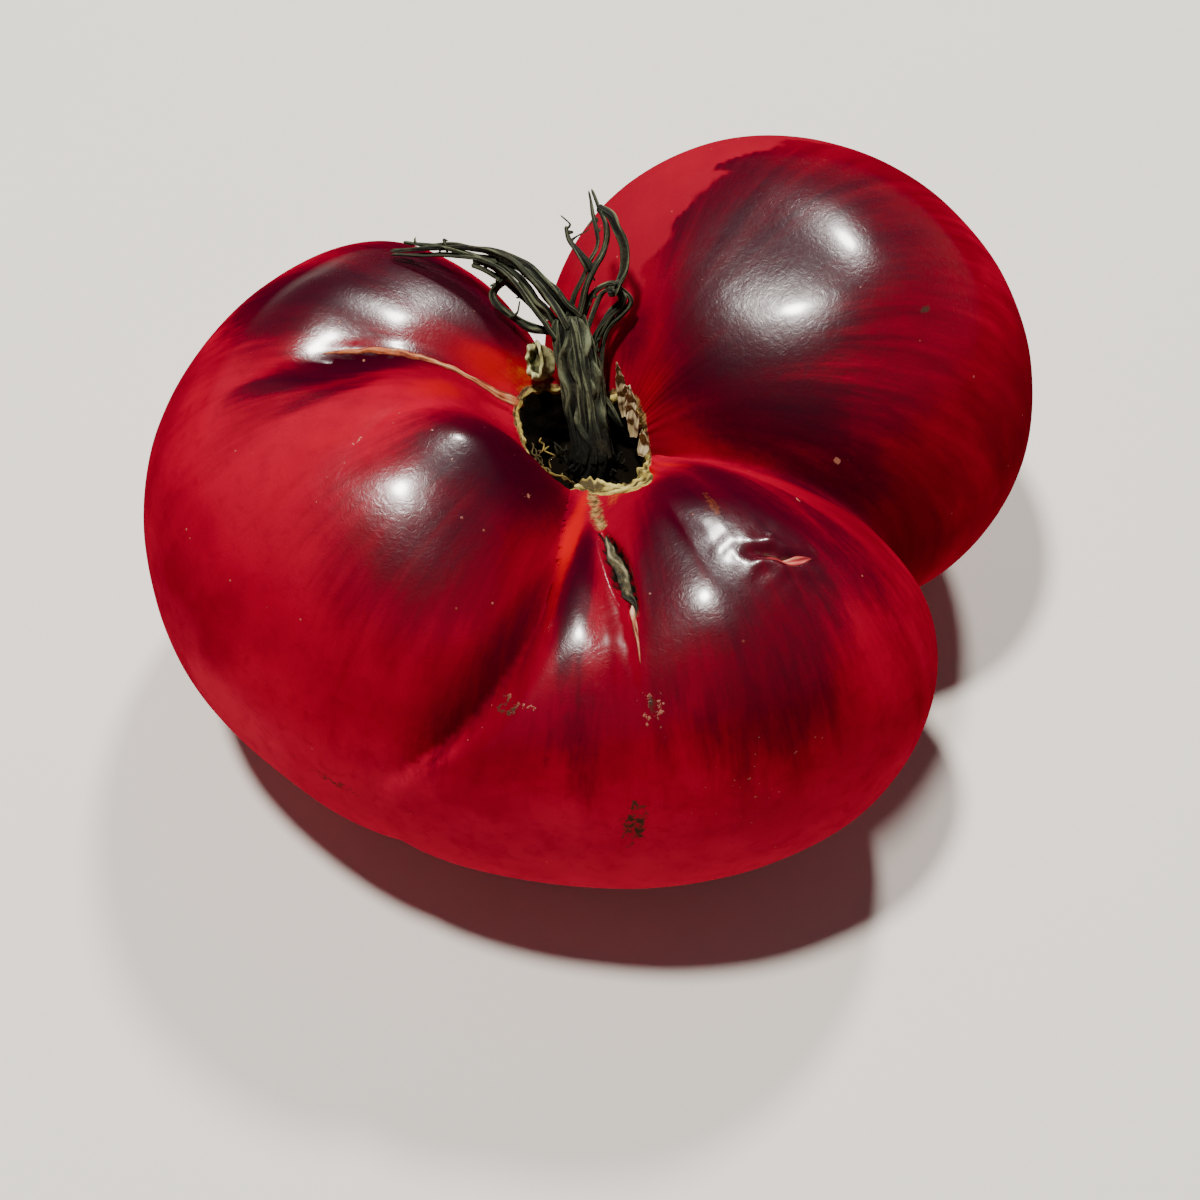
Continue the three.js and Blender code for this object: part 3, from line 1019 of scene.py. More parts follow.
@dataclass(frozen=True)
class Track:
    """A line over the skin that relief and paint follow, as rows of radius and azimuth."""

    rows: tuple[tuple[float, float], ...]

    def off(self, points: Array) -> Array:
        """How far points are from the line, measured round the stem.

        Args:
            points: Skin points.

        Returns:
            Millimetres for each point, below zero on the line's clockwise side.
        """
        radius, azimuth = polar(points)
        radii, azimuths = np.array(self.rows, float).T
        return np.radians(turn_gap(azimuth, np.interp(radius, radii, azimuths))) * radius


@dataclass(frozen=True)
class Pull:
    """A stretch of the mouth that lies further out, or further in where reach is below zero."""

    azimuth: float
    spread: float
    reach: float

    def at(self, azimuth: Array) -> Array:
        """How much further out the mouth is at azimuths."""
        return self.reach * hump(turn_gap(azimuth, self.azimuth), 0, self.spread)


@dataclass
class Fruit:
    """The fruit's skin: one closed surface from the well's floor, over the lobes, to the flat spot.

    Rays of a fan leave a small circle inside the fruit and meet the skin. A ray's turn is its direction
    on the plan, and its share goes from 0 at the well's mouth to 1 straight under.
    """

    form: FruitForm = field(default_factory=FruitForm)
    around: int = 384
    skin_rings: int = 230
    wall_rings: int = 18
    floor_rings: int = 7
    crowd: float = 0.3
    crowd_turn: float = 255.0
    well_floor: float = 44.0
    well_floor_radius: float = 6.4
    well_mouth: float = 8.6
    pulls: tuple[Pull, ...] = (Pull(152.0, 26, 2.2), Pull(12.0, 42, -1.5), Pull(236.0, 20, -1.0))
    fan: Vec3 = (3.0, 3.0, 24.0)
    fan_radius: float = 7.5
    fan_swing: float = 2.0
    fan_swing_toward: float = 40.0
    ray_limit: float = 90.0
    ray_step: float = 2.5
    split: Track = Track(((9, 270), (20, 273.6), (25.9, 276.6), (32.5, 278.6), (40, 278.7)))
    split_middle: float = 26.8
    split_half: float = 7.0
    split_width: float = 2.1
    fold: Track = Track(((10.5, 154), (15, 162), (20, 164.8), (28.9, 169.2), (35.9, 171.8)))
    middle_crest: Track = Track(((20, 266), (35, 262.8), (42, 261.5)))
    pinch: tuple[float, float] = (22.7, -26.1)
    pucker_rise: float = 0.12
    lip_azimuth: float = 256.0
    lip_rise: float = 1.0
    rim_fade: float = 3.5
    crest_rise: float = 0.55
    pit_depth: float = 1.0
    brow_rise: float = 0.45
    pinch_depth: float = 1.0
    polish_side: Vec3 = (0.0, -0.545, 0.839)
    swells: tuple[Mound, ...] = (
        Mound(38.0, 12.8, 11.0, 0.95),
        Mound(23.0, 17.2, 11.0, -0.95),
        Mound(20.0, -36.0, 8.0, 0.75),
        Mound(11.6, -25.0, 8.0, -0.75),
        Mound(5.5, -9.5, 4.0, -1.4),
        Mound(-36.5, 14.5, 6.5, 1.1),
        Mound(-35.5, 3.0, 5.0, -0.6),
        Mound(-31.0, 19.0, 10.0, 0.8),
        Mound(-31.0, 0.0, 9.0, -0.8),
    )
    matt_spots: tuple[Mound, ...] = (Mound(3.2, -34.8, 2.8, 0.9), Mound(12.6, -22.4, 3.4, 0.85))
    shoulders: tuple[Blemish, ...] = (
        Blemish(35, 0.2, 30, 0.13, 1.0),
        Blemish(10, 0.17, 22, 0.13, 0.9),
        Blemish(62, 0.24, 14, 0.1, 0.7),
        Blemish(350, 0.2, 16, 0.14, 0.75),
        Blemish(340, 0.3, 8, 0.1, 0.6),
        Blemish(75, 0.08, 18, 0.05, 0.5),
        Blemish(148, 0.19, 14, 0.12, 1.0),
        Blemish(163, 0.25, 12, 0.1, 0.95),
        Blemish(180.0, 0.2, 5.0, 0.085, 1.0, 70.0),
        Blemish(189, 0.2, 3.5, 0.05, 0.5, 80.0),
        Blemish(228, 0.09, 23, 0.08, 1.0),
        Blemish(232, 0.16, 11, 0.1, 0.6),
        Blemish(249, 0.31, 5, 0.16, 0.35, -60.0),
        Blemish(261.5, 0.21, 3.8, 0.09, 0.95),
        Blemish(263, 0.34, 8, 0.08, 0.3),
        Blemish(290, 0.19, 15, 0.12, 1.0),
        Blemish(308, 0.22, 12, 0.13, 0.9),
        Blemish(292, 0.32, 20, 0.09, 0.4),
        Blemish(318, 0.3, 7, 0.1, 0.5),
    )
    # Patches of the shade paint: partly the skin's darker red, partly painted shade on the shaded sides of
    # the lobes and along the creases.
    shades: tuple[Blemish, ...] = (
        Blemish(4, 0.32, 26, 0.1, 0.8),
        Blemish(294, 0.26, 30, 0.16, 0.9),
        Blemish(253, 0.26, 7, 0.13, 0.9, -50.0),
        Blemish(340, 0.36, 22, 0.22, 0.7),
        Blemish(5, 0.35, 25, 0.2, 0.7),
        Blemish(231, 0.16, 22, 0.15, 0.95),
        Blemish(160, 0.2, 28, 0.17, 0.7),
        Blemish(40, 0.25, 40, 0.22, 0.95),
        Blemish(15, 0.12, 30, 0.1, 0.7),
        Blemish(185, 0.21, 9, 0.11, 0.7, 60.0),
    )
    hollows: tuple[Blemish, ...] = (
        Blemish(256, 0.12, 4, 0.14, 0.9, 20.0),
        Blemish(162, 0.05, 13, 0.06, 0.75),
        Blemish(188, 0.1, 9, 0.035, 0.6, 120.0),
        Blemish(203, 0.2, 6, 0.12, 0.35, 60.0),
        Blemish(285, 0.02, 18, 0.045, 0.9),
        Blemish(310, 0.14, 3.5, 0.14, 0.8, 60.0),
        Blemish(20, 0.03, 45, 0.06, 0.4),
        Blemish(78, 0.27, 13, 0.09, 0.3),
    )
    ambers: tuple[Blemish, ...] = (
        Blemish(163, 0.012, 9, 0.014, 0.6),
        Blemish(268, 0.045, 3, 0.05, 0.6),
        Blemish(297.4, 0.174, 3.4, 0.03, 0.42),
        Blemish(158, 0.035, 9, 0.03, 0.55),
        Blemish(285, 0.0, 26, 0.014, 0.8),
    )
    soils: tuple[Blemish, ...] = (
        Blemish(272.3, 0.436, 2.0, 0.035, 0.75, -10.0),
        Blemish(253.5, 0.328, 3.6, 0.012, 0.6),
        Blemish(275.3, 0.325, 0.9, 0.012, 0.75),
        Blemish(231, 0.465, 6.0, 0.008, 0.6, 200.0),
        Blemish(11.6, 0.322, 0.9, 0.005, 0.95),
        Blemish(29.4, 0.262, 0.5, 0.004, 0.9),
    )
    grits: tuple[Blemish, ...] = (
        Blemish(254.5, 0.327, 4.0, 0.014, 0.55),
        Blemish(275.4, 0.328, 2.2, 0.026, 0.55),
        Blemish(241.0, 0.106, 2.2, 0.008, 0.6),
        Blemish(322.6, 0.264, 1.1, 0.004, 0.9),
        Blemish(207.0, 0.18, 2.0, 0.07, 0.38, 90.0),
        Blemish(290.0, 0.42, 12.0, 0.06, 0.3),
        Blemish(343.6, 0.304, 0.8, 0.006, 0.8),
    )

    def turns(self) -> Array:
        """Fan angles of the columns, crowded on the front: equal steps of t + crowd sin(t - toward).

        Returns:
            Angles in radians, one for each column.
        """
        t = np.linspace(0, TAU, 4001)
        toward = math.radians(self.crowd_turn)
        level = t + self.crowd * (np.sin(t - toward) + math.sin(toward))
        return np.interp(once_round(self.around), level, t)

    def mouth_radius(self, azimuth: Array) -> Array:
        """The mouth's radius: further out on the back left, closer in on the right and the front left."""
        return self.well_mouth + sum(pull.at(azimuth) for pull in self.pulls)

    def mouth(self, turn: Array) -> tuple[Array, Array]:
        """Where fan rays cross the well's mouth, found by eight rounds of crossing a circle of its radius.

        Args:
            turn: Fan angles in radians.

        Returns:
            The distance along each ray, and the skin's points there.
        """
        fx, fy, _ = self.fan
        c, s = np.cos(turn), np.sin(turn)
        along = fx * c + fy * s
        reach = self.well_mouth
        for _ in range(8):
            out = -along + np.sqrt(along**2 - (fx**2 + fy**2 - reach**2))
            x, y = fx + out * c, fy + out * s
            reach = self.mouth_radius(np.degrees(np.arctan2(y, x)))
        return out, self.form.on_top(x, y)

    def skin_rows(self, turn: Array, share: Array) -> Array:
        """Skin points on a grid of fan angles and shares: rays tilt from the mouth's rim to straight under.

        Args:
            turn: Fan angles in radians.
            share: Shares from 0 at the mouth to 1 at the flat spot's middle.

        Returns:
            Points, shares x turns x 3, those below the floor brought up to it along their rays.
        """
        fx, fy, fz = self.fan
        out, edge = self.mouth(turn)
        start = self.fan_radius - self.fan_swing * np.cos(turn - math.radians(self.fan_swing_toward))
        first = np.arctan2(out - start, edge[:, 2] - fz)
        final = math.pi + np.arctan(start / fz)
        s = share[:, None]
        tilt = first + (final - first) * (0.6 * s + 0.4 * s * s)
        side, up = np.sin(tilt), np.cos(tilt)
        c, n = np.cos(turn), np.sin(turn)

        def point_at(t: Array) -> Array:
            """Points at distances along the fan's rays."""
            radius = start + t * side
            return np.stack([fx + radius * c, fy + radius * n, fz + t * up], -1)

        to_floor = np.minimum(self.ray_limit, -fz / np.minimum(up, -1e-6))
        limit = np.where(up < 0, to_floor, self.ray_limit)
        return point_at(self.form.last_crossing(point_at, limit, self.ray_step))

    def flow(self, points: Array, stretch: float) -> Array:
        """A space where noise runs along the ribs: a 35 mm circle by turn, with the run outward squeezed.

        Args:
            points: Skin points.
            stretch: How much of the run outward and down is kept.

        Returns:
            A place in that space for each point.
        """
        turn = np.arctan2(points[..., 1] - self.fan[1], points[..., 0] - self.fan[0])
        run = polar(points)[0] + 0.8 * (60.0 - np.minimum(points[..., 2], 60.0))
        return np.stack([35 * np.cos(turn), 35 * np.sin(turn), run * stretch], -1)

    def split_reach(self, radius: Array) -> Array:
        """Half the front scar's width at a radius: a lens that is widest in its middle."""
        share = (radius - self.split_middle) / self.split_half
        return self.split_width / 2 * np.clip(1 - share**2, 0, 1) ** 0.8

    def rim_relief(self, points: Array) -> Array:
        """Puckers at the mouth that die away outwards, faint ribs beyond them, and a raised lip in front.

        Args:
            points: Skin points.

        Returns:
            One height for each point, in millimetres.
        """
        radius, azimuth = polar(points)
        out = radius - self.well_mouth
        flow = self.flow(points, 0.12)
        puckers = self.pucker_rise * grain(flow, 4.0, 3) * np.exp(-out / self.rim_fade)
        ribs = 0.012 * grain(flow, 9.0, 5) * smooth((radius - 9) / 6)
        front = hump(turn_gap(azimuth, self.lip_azimuth), 0, 26)
        return puckers + ribs + self.lip_rise * front * np.exp(-np.abs(out) / self.rim_fade)

    def split_relief(self, points: Array) -> Array:
        """The front scar's pit with its crack and low lips, the valley beside it and the crest left of that.

        Args:
            points: Skin points.

        Returns:
            One height for each point, in millimetres.
        """
        radius = polar(points)[0]
        off = self.split.off(points)
        side, half = np.abs(off), self.split_reach(radius)
        pit = self.pit_depth * smooth((half - side + 0.35) / 0.7) * (half > 0)
        crack = 0.35 * hump(side, 0, 0.5) * smooth((35 - radius) / 5) * smooth((radius - 10) / 4)
        lips = hump(side - half, 0.9, 0.8) * smooth((36 - radius) / 6) * smooth((radius - 12) / 6)
        valley = hump(off, -3.7, 1.9) * hump(radius, 30, 12)
        crest = hump(self.middle_crest.off(points), 0, 3.3) * hump(radius, 32, 11)
        return 0.1 * lips - np.maximum(pit, crack) - 0.35 * valley + self.crest_rise * crest

    def fold_relief(self, points: Array) -> Array:
        """The left fold: a brow, a groove in front of it and fine wrinkles in front of that.

        Args:
            points: Skin points.

        Returns:
            One height for each point, in millimetres.
        """
        radius = polar(points)[0]
        off = self.fold.off(points)
        along = smooth((radius - 10) / 4) * smooth((38 - radius) / 8)
        wrinkle = grain(self.flow(points, 0.5), 2.0, 9) * hump(off, 4.5, 2.5) * hump(radius, 32, 10)
        return along * (self.brow_rise * hump(off, 0, 1.3) - 0.25 * hump(off, 2.4, 1.4)) + 0.12 * wrinkle

    def pinch_relief(self, points: Array) -> Array:
        """The small pinched scar: a wavy slit between two swollen lips, in slightly rough skin.

        Args:
            points: Skin points.

        Returns:
            One height for each point, in millimetres.
        """
        x = points[..., 0] - self.pinch[0]
        y = points[..., 1] - self.pinch[1] + 0.05 * x + 0.25 * np.sin(x * 1.3)
        eye = np.exp(-(np.abs(x / 3.6) ** 3))
        swollen = 0.35 * hump(y, 1.6, 1.0) + 0.4 * hump(y, -1.5, 0.9)
        near = hump(x, 0, 7.0) * hump(y, 0, 5.0)
        rough = grain(points, 3.4, 15) * 0.1 + grain(points, 1.8, 16) * 0.025
        return eye * (swollen - self.pinch_depth * hump(y, 0, 0.75)) + near * rough

    def relief(self, points: Array) -> Array:
        """Outward relief: every part of it on top, and only broad unevenness lower down.

        Args:
            points: Skin points.

        Returns:
            One height for each point, in millimetres.
        """
        total = sum(mound.at(points) for mound in self.swells)
        for part in (self.rim_relief, self.split_relief, self.fold_relief, self.pinch_relief):
            total = total + part(points)
        high = smooth((points[..., 2] - 30) / 20)
        return total * high + grain(points, 17.0, 6) * 0.05 + grain(points, 6.0, 7) * 0.007

    def surface(self, x: Array, y: Array) -> Array:
        """Points of the finished skin above places of the plan."""
        points = self.form.on_top(x, y)
        return points + self.form.normal(points) * self.relief(points)[..., None]

    @staticmethod
    def calm(points: Array, normals: Array) -> Array:
        """How broadly rounded the skin is, by how fast normals turn along the rings.

        Args:
            points: Skin points, rings x around x 3.
            normals: Their outward directions.

        Returns:
            1 for broadly rounded skin, and 0 on a crisp ridge.
        """
        turned = np.linalg.norm(np.roll(normals, -1, 1) - np.roll(normals, 1, 1), axis=-1)
        passed = np.linalg.norm(np.roll(points, -1, 1) - np.roll(points, 1, 1), axis=-1)
        return 1 - smooth((turned / np.maximum(passed, 0.05) - 0.07) / 0.1)

    def gloss(self, points: Array, normals: Array, share: Array, hollow: Array) -> Array:
        """Where the skin is polished: where it mirrors the sky side, and again where it faces away.

        A direction seen side-on is mirrored by each normal, and the mirrored direction's height sets the
        polish. Hollows, the matt spots, the strip along the front scar and the fold's groove stay dull.

        Args:
            points: Skin points, rings x around x 3.
            normals: Their outward directions.
            share: Their shares on the chart.
            hollow: The paint of the hollows.

        Returns:
            Gloss from 0 to 1.
        """
        radius = polar(points)[0]
        side_on = np.array(self.polish_side)
        facing, up = normals @ side_on, normals[..., 2]
        mirrored = 2 * facing * up - side_on[2]
        polish = smooth((mirrored - 0.15) / 0.55) * smooth((up + 0.1) / 0.3) * smooth(facing / 0.2)
        polish = np.maximum(polish, 0.55 * smooth(-facing / 0.4))
        for spot in self.matt_spots:
            polish = polish * (1 - spot.at(points))
        strip = 0.95 * hump(self.split.off(points), -2.9, 3.1) * smooth((44 - radius) / 5) * (share < 0.45)
        groove = 0.95 * hump(self.fold.off(points), 1.9, 1.7) * smooth((46 - radius) / 6) * (share < 0.3)
        return polish * (1 - 0.6 * hollow) * (1 - groove) * (1 - strip) * self.calm(points, normals)

    def scar_paint(self, points: Array, share: Array) -> tuple[Array, Array]:
        """Corky edges round the front scar with a line up to the mouth, and painted shade in the scar's pit.

        Args:
            points: Skin points.
            share: Their shares on the chart.

        Returns:
            The cork paint and the pit paint.
        """
        radius, azimuth = polar(points)
        side, half = np.abs(self.split.off(points)), self.split_reach(radius)
        ring = hump(side - half, 0, 0.5) * smooth((36 - radius) / 5) * smooth((radius - 9) / 2)
        line = hump(side, 0, 1.4) * smooth((21.5 - radius) / 3)
        scar = np.maximum(ring * 0.3, line * 0.62) * (share < 0.45)
        rim = smooth((self.mouth_radius(azimuth) + 1.1 - radius) / 0.8) * (share < 0.3)
        ragged = 0.3 * grain(points, 1.1, 35) + 0.2 * grain(points, 0.6, 36)
        # Painted shade in the scar's pit.
        pit = smooth((half - side + ragged + 0.1) / 0.6) * (half > 0.15) * (share < 0.45)
        return np.maximum(scar, rim * 0.8), pit * 0.6

    def paints(self, points: Array, normals: Array, turn: Array, share: Array) -> dict[str, Array]:
        """The values that the skin's finish reads, worked out on the chart of turn and share.

        Args:
            points: Skin points, rings x around x 3.
            normals: Their outward directions.
            turn: Their turns in degrees.
            share: Their shares.

        Returns:
            Each paint's values, by its name.
        """

        def most(patches: tuple[Blemish, ...]) -> Array:
            """The strongest of the patches at each place."""
            return np.max([p.cover(turn, share) for p in patches], axis=0)

        radius = polar(points)[0]
        scallop = 2.5 * grain(points, 5.0, 33) + 3.0 * np.abs(np.sin(share * 55))
        patch = smooth((turn - 70 + (share - 0.229) * 109 + scallop) / 3.0) * smooth((105 - turn) / 5)
        shoulder = most(self.shoulders)
        shoulder = shoulder * (1 - patch * smooth((share - 0.17) / 0.03))
        hollow = most(self.hollows) * (1 - 0.5 * shoulder)
        cork, pit = self.scar_paint(points, share)
        x, y = points[..., 0] - self.pinch[0], points[..., 1] - self.pinch[1]
        # Painted shade in the pinched scar's slit, carried by the same paint as the dirt stains.
        slit = np.exp(-(np.abs(x / 3.4) ** 3)) * hump(y + 0.1 * x, 0, 0.5) * (points[..., 2] > 50)
        # Painted bounce light on the low left and front sides.
        low_left = smooth((turn - 200) / 10) * smooth((235 - turn) / 15) * smooth((share - 0.38) / 0.1)
        low_front = smooth((share - 0.3) / 0.2) * (0.2 + 0.6 * hump(turn_gap(turn, 255), 0, 85))
        return {
            "flow": self.flow(points, 0.1) * MM,
            "shoulder": shoulder,
            "brush": 0.1 + 0.9 * smooth((radius - 13) / 20),
            "shade": most(self.shades),
            "hollow": hollow,
            "amber": most(self.ambers),
            "dusty": np.maximum(low_front, low_left),
            "cork": cork,
            "fleck": 0.5 + 0.3 * grain(points, 14.0, 21),
            "soil": np.maximum(most(self.soils), slit * 0.75),
            "grit": most(self.grits),
            "well": pit,
            "patch": patch * smooth((share - 0.1) / 0.05) * smooth((0.5 - share) / 0.2),
            "gloss": self.gloss(points, normals, share, hollow),
        }

    def well_rows(self, edge: Array) -> Array:
        """The well's floor and wall: flat rings from the middle out, then rings that widen up to the mouth.

        Args:
            edge: The mouth's points.

        Returns:
            Rough rings of points, from the floor's middle up to just under the mouth.
        """
        azimuth = np.arctan2(edge[:, 1], edge[:, 0])
        floor_share = np.arange(1, self.floor_rings + 1)[:, None] / (self.floor_rings + 1)
        wall_share = np.arange(self.wall_rings)[:, None] / self.wall_rings
        widening = polar(edge)[0] - self.well_floor_radius
        wall = self.well_floor_radius + widening * wall_share**1.5
        radius = np.concatenate([self.well_floor_radius * floor_share + 0 * azimuth, wall])
        level = np.full((self.floor_rings, len(edge)), self.well_floor)
        height = np.concatenate([level, self.well_floor + (edge[:, 2] - self.well_floor) * wall_share])
        rows = np.stack([radius * np.cos(azimuth), radius * np.sin(azimuth), height], -1)
        rough = grain(rows, 1.8, 31) * 0.25
        fade = np.concatenate([np.full(self.floor_rings, 0.5), smooth((1 - wall_share[:, 0]) / 0.4)])
        rows[..., :2] *= (1 + rough * fade[:, None] / 8.0)[..., None]
        return rows

    def shares(self) -> Array:
        """Shares of the rings: close together on top, wide apart underneath."""
        even = np.arange(self.skin_rings) / self.skin_rings
        return np.interp(even, [0, 0.3, 0.85, 1.0], [0, 0.19, 0.62, 1.0])

    def shell(self) -> Shell:
        """The whole skin: form, relief and paint over the lobes, and the bare well inside its mouth in
        painted shade.

        Returns:
            One closed shell.
        """
        turn, share = self.turns(), self.shares()
        rows = self.skin_rows(turn, share)
        degrees = np.degrees(turn)[None, :] + 0 * share[:, None]
        normals = self.form.normal(rows)
        paints = self.paints(rows, normals, degrees, share[:, None] + 0 * degrees)
        rows = rows + normals * (self.relief(rows) * smooth(rows[..., 2] / 6.0))[..., None]
        rows[..., 2] = np.maximum(rows[..., 2], 0.0)
        well = self.well_rows(rows[0])
        bare = np.zeros(well.shape[:2])
        below = {name: bare for name in paints}
        for name in ("flow", "brush", "dusty", "fleck", "soil"):
            below[name] = np.repeat(paints[name][:1], len(well), axis=0)
        below["cork"] = bare + 1
        # Painted shade: the well darkens deeper below the mouth.
        below["well"] = smooth((rows[0, :, 2] - well[..., 2] + 0.2) / 0.9)
        merged = {name: np.concatenate([below[name], paints[name]]) for name in paints}
        fx, fy, _ = self.fan
        floor_pole = np.array([0.0, 0.0, self.well_floor])
        return Shell.tube(np.concatenate([well, rows]), floor_pole, np.array([fx, fy, 0.0]), merged)

    def build(self) -> list[bpy.types.Object]:
        """Makes the skin inside the fruit node's box and hides that node.

        Returns:
            The skin alone.
        """
        shell = self.shell()
        low, high = fit_box("fruit")
        shell.points = squeeze(shell.points, low, high)
        skin = shell.to_object("fruit_skin", SkinFinish().material(), Slot.SKIN)
        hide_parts("fruit")
        return [skin]


def fit_box(node: str) -> tuple[Array, Array]:
    """A CAD node's corners in millimetres round the stem.

    Args:
        node: The node's name.

    Returns:
        Its low corner and its high corner.
    """
    shift = np.array([STEM_AT[0], STEM_AT[1], 0.0])
    low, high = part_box(node)
    return np.array(low) / MM - shift, np.array(high) / MM - shift


def squeeze(points: Array, low: Array, high: Array) -> Array:
    """Points scaled along each axis about the box's middle, only as far as they need to lie in it.

    Heights are scaled from the floor instead, so that the flat spot stays on it.

    Args:
        points: Places round the stem.
        low: The box's low corner.
        high: Its high corner.

    Returns:
        The points inside the box.
    """
    middle = (low + high) / 2
    reach = np.maximum((points.max(0) - middle) / (high - middle), (middle - points.min(0)) / (middle - low))
    shrunk = middle + (points - middle) / np.maximum(reach, 1.0)
    shrunk[:, 2] = points[:, 2] * np.minimum(1.0, high[2] / points[:, 2].max())
    return shrunk


# Dried rods


@dataclass
class Rod:
    """A tapering dried strap along a curve: flattened, twisted, grooved and wrinkled.

    Points are millimetres round the stem. The section is an ellipse whose radius is cut by a groove and
    ribs, turned as it goes along.
    """

    path: tuple[Vec3, ...]
    radii: tuple[float, ...]
    flat: float = 0.62
    twist: float = 150.0
    turn: float = 0.0
    ribs: int = 3
    rib_depth: float = 0.12
    groove: float = 0.35
    wander: float = 0.25
    around: int = 36
    step: float = 0.28
    seed: int = 1
    # Below this height, down by the well, the rod is painted in shade.
    shaded_below: float = 46.0

    def middle(self) -> tuple[Array, Array, Array]:
        """The rod's middle line: a curve through its path that wanders a little past its start.

        Returns:
            Shares along it, points and radii.
        """
        knots = np.array(self.path, float)
        rings = max(int(lengths(knots)[-1] / self.step), 12)
        share = np.linspace(0, 1, rings)
        centre = spline(knots, share)
        radius = np.interp(share, np.linspace(0, 1, len(self.radii)), self.radii)
        drift = np.stack([grain(centre, 5.0, self.seed * 7 + k) for k in range(3)], -1)
        return share, centre + self.wander * (radius * smooth(share / 0.1))[:, None] * drift, radius

    def section(self, share: Array, length: Array, angle: Array) -> Array:
        """The section's radius as a part of the rod's: 1, with ribs, a groove that drifts and wrinkles.

        Args:
            share: Shares along the rod, as a column.
            length: Lengths along it, as a column.
            angle: Angles round it, as a row.

        Returns:
            One value for each place of the rod's grid.
        """
        drift = 0.8 * np.sin(share * 5 + self.seed)
        groove = self.groove * hump(turn_gap(np.degrees(angle), 90 + 20 * drift), 0, 26)
        skin = np.broadcast_arrays(np.cos(angle) * 2.2, np.sin(angle) * 2.2, length * 0.2)
        skin = np.stack(skin, -1)
        wrinkle = grain(skin, 1.5, self.seed + 50) * 0.12 + grain(skin, 0.7, self.seed + 60) * 0.08
        return 1 + self.rib_depth * np.cos(self.ribs * angle + drift) - groove + wrinkle

    def shell(self) -> Shell:
        """The section carried along the middle line, spun as it goes and rounded off at both ends.

        Returns:
            The closed rod with its ridge and flow paints.
        """
        share, centre, radius = self.middle()
        way = unit(np.gradient(centre, axis=0))
        lean = unit(np.cross(way.mean(0) + [0.01, 0.02, 0.0], [0.3, -0.5, 0.8]))
        side = unit(lean - (way * lean).sum(-1, keepdims=True) * way)
        lift = np.cross(way, side)

        a, s, length = once_round(self.around)[None, :], share[:, None], lengths(centre)[:, None]
        spin = np.radians(self.turn + self.twist * s) + 0.3 * grain(centre, 9.0, self.seed + 90)[:, None]
        section = self.section(s, length, a)
        start = np.sqrt(1 - (1 - np.clip(s / 0.02, 0, 1)) ** 2)
        end = np.sqrt(np.clip(1 - (1 - np.clip((1 - s) / 0.03, 0, 1)) ** 2, 0.02, 1))
        reach = radius[:, None] * section * start * end
        wide, thin = reach * np.cos(a), reach * np.sin(a) * self.flat
        x = wide * np.cos(spin) - thin * np.sin(spin)
        y = wide * np.sin(spin) + thin * np.cos(spin)
        rows = centre[:, None] + side[:, None] * x[..., None] + lift[:, None] * y[..., None]
        # Painted shade: the ridge paint is lower in the grooves, where the section is cut in, and falls
        # further below the shaded height.
        ridge = np.clip(0.5 + (section - 1.0) * 2.2, 0, 1.2)
        ridge = ridge * (0.15 + 0.85 * smooth((rows[..., 2] - self.shaded_below) / 6.0))
        flow = np.stack([wide, thin, length * 0.12 + 0 * a], -1) * MM
        return Shell.tube(rows, centre[0], centre[-1], {"ridge": ridge, "flow": flow})

    def strands(self, count: int, spread: float, thin: float) -> list[Shell]:
        """The rod split into thinner rods that wind side by side round its path.

        Args:
            count: Number of strands.
            spread: How far out each lies, as a part of the rod's radius.
            thin: Each strand's radius, as a part of the rod's.

        Returns:
            One shell for each strand.
        """
        path = np.array(self.path, float)
        share = np.linspace(0, 1, len(path))
        way = unit(np.gradient(path, axis=0))
        side = unit(np.cross(way, [0.1, -0.54, 0.84]))
        lift = np.cross(way, side)
        radii = np.interp(share, np.linspace(0, 1, len(self.radii)), self.radii)
        shells = []
        for k in range(count):
            wind = np.radians(self.twist) * share * (1 if k % 3 else -0.4)
            angle = k / count * TAU + wind + self.seed
            ring = side * np.cos(angle)[:, None] + lift * np.sin(angle)[:, None] * self.flat
            strand = Rod(
                as_path(path + ring * (radii * spread)[:, None]),
                tuple(radii * thin * (0.8 + 0.4 * ((k * 5 + 3) % 7) / 7)),
                flat=0.7,
                twist=self.twist,
                turn=40.0 * k,
                wander=self.wander,
                seed=self.seed * 10 + k,
                shaded_below=self.shaded_below,
            )
            shells.append(strand.shell())
        return shells


@dataclass(frozen=True)
class Strap:
    """One curled sepal: its path from root to tip, its radii, its twist and its number of strands."""

    name: str
    path: tuple[Vec3, ...]
    radii: tuple[float, ...]
    twist: float
    strands: int


